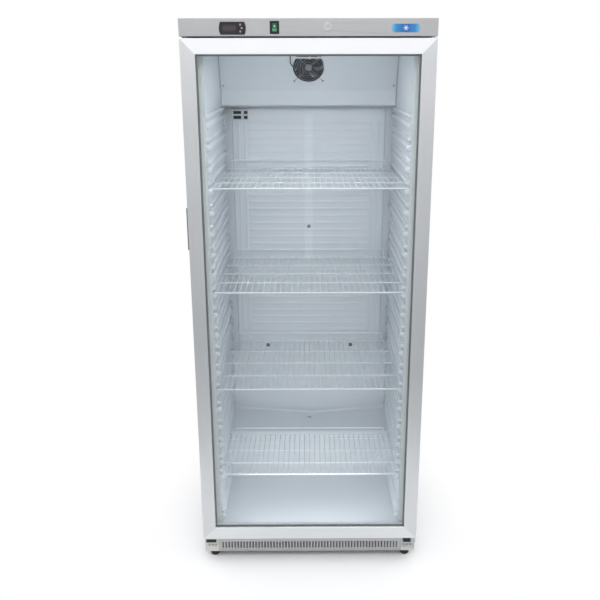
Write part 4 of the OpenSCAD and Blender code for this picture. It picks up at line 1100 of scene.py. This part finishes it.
def studio_world():
    """White to the camera; to everything else a soft room, brighter towards the ceiling."""
    world = bpy.data.worlds.new("studio")
    bpy.context.scene.world = world
    world.use_nodes = True
    tree = world.node_tree
    tree.nodes.clear()
    out = tree.nodes.new("ShaderNodeOutputWorld")
    coord = tree.nodes.new("ShaderNodeTexCoord")
    split = tree.nodes.new("ShaderNodeSeparateXYZ")
    tree.links.new(coord.outputs["Generated"], split.inputs[0])
    sky = ramp(tree, remap(tree, split.outputs["Z"], 0.0, 1.0, -0.1, 1.0),
               ((0.0, (0.60, 0.61, 0.62)), (0.1, (0.76, 0.77, 0.79)), (0.3, (0.90, 0.91, 0.94)),
                (1.0, (0.95, 0.96, 0.98))))
    felt = tree.nodes.new("ShaderNodeBackground")
    felt.inputs["Strength"].default_value = 0.9
    tree.links.new(sky, felt.inputs["Color"])
    seen = tree.nodes.new("ShaderNodeBackground")
    seen.inputs["Color"].default_value = (1, 1, 1, 1)
    both = blend(tree, light_path(tree, "Is Camera Ray"), felt.outputs[0], seen.outputs[0])
    tree.links.new(both, out.inputs["Surface"])


def soft_box(name, place, target, width, height, power, mirrored_too=True):
    """A rectangular light, in metres and watts, unseen by the camera.

    Mirrors don't show it either if mirrored_too is false.
    """
    light = bpy.data.lights.new(name, "AREA")
    light.shape = "RECTANGLE"
    light.size = width
    light.size_y = height
    light.energy = power
    obj = bpy.data.objects.new(name, light)
    obj.location = place
    obj.rotation_euler = (Vector(target) - Vector(place)).to_track_quat("-Z", "Y").to_euler()
    obj.visible_camera = False
    obj.visible_glossy = mirrored_too
    bpy.context.scene.collection.objects.link(obj)


def studio_lights():
    """Soft lights around the cabinet, and small ones for its inside and the pane's reflection."""
    soft_box("key", (0.0, -3.0, 3.6), (0, 0, 1.0), 3.2, 1.4, 46)
    soft_box("left", (-3.2, -1.6, 2.0), (0, 0, 1.0), 1.6, 2.4, 18)
    soft_box("right", (3.2, -1.6, 2.0), (0, 0, 1.0), 1.6, 2.4, 18)
    soft_box("top", (0.0, 0.2, 4.2), (0, 0, 0), 3.0, 3.0, 32)
    soft_box("fill", at(0, 46, 969), at(0, 500, 969), 0.66, 1.70, 0.78, False)
    soft_box("fill_low", at(0, 46, 250), at(0, 500, 250), 0.5, 0.2, 0.46, False)
    soft_box("stand_lamp", (0.0, -4.5, 0.74), (0, 0, 0.74), 0.07, 1.28, 0.42)
    soft_box("cabinet_lamp", at(0, 100, CEILING_Z - 24), at(0, 500, 800), 0.30, 0.03, 1.3)


# Metres and degrees; a tilt of 90 would look level
CAMERA_PLACE = (-0.001, -2.7705, 1.762)
CAMERA_PAN = -0.35
CAMERA_TILT = 72.92
CAMERA_ROLL = -0.06


def photo_camera():
    """Seen from near the cabinet's top, 2.4 m in front of the door and looking down."""
    data = bpy.data.cameras.new("camera")
    data.sensor_width = 36.0
    data.lens = 45.966
    data.shift_x = -0.02233
    cam = bpy.data.objects.new("camera", data)
    place = Matrix.Translation(CAMERA_PLACE)
    for angle, axis in ((CAMERA_PAN, "Z"), (CAMERA_TILT, "X"), (CAMERA_ROLL, "Z")):
        place = place @ Matrix.Rotation(math.radians(angle), 4, axis)
    cam.matrix_world = place
    bpy.context.scene.collection.objects.link(cam)
    bpy.context.scene.camera = cam


# ---------------------------------------------------------------- build

dress_nodes()
build_liner()
build_shelves()
wall_washers()
# Painted shade behind the probe holder's openings.
holder_painted_shade()
fan_wheel()
stage_floor()
studio_world()
studio_lights()
photo_camera()
bpy.context.scene.view_settings.view_transform = "Standard"
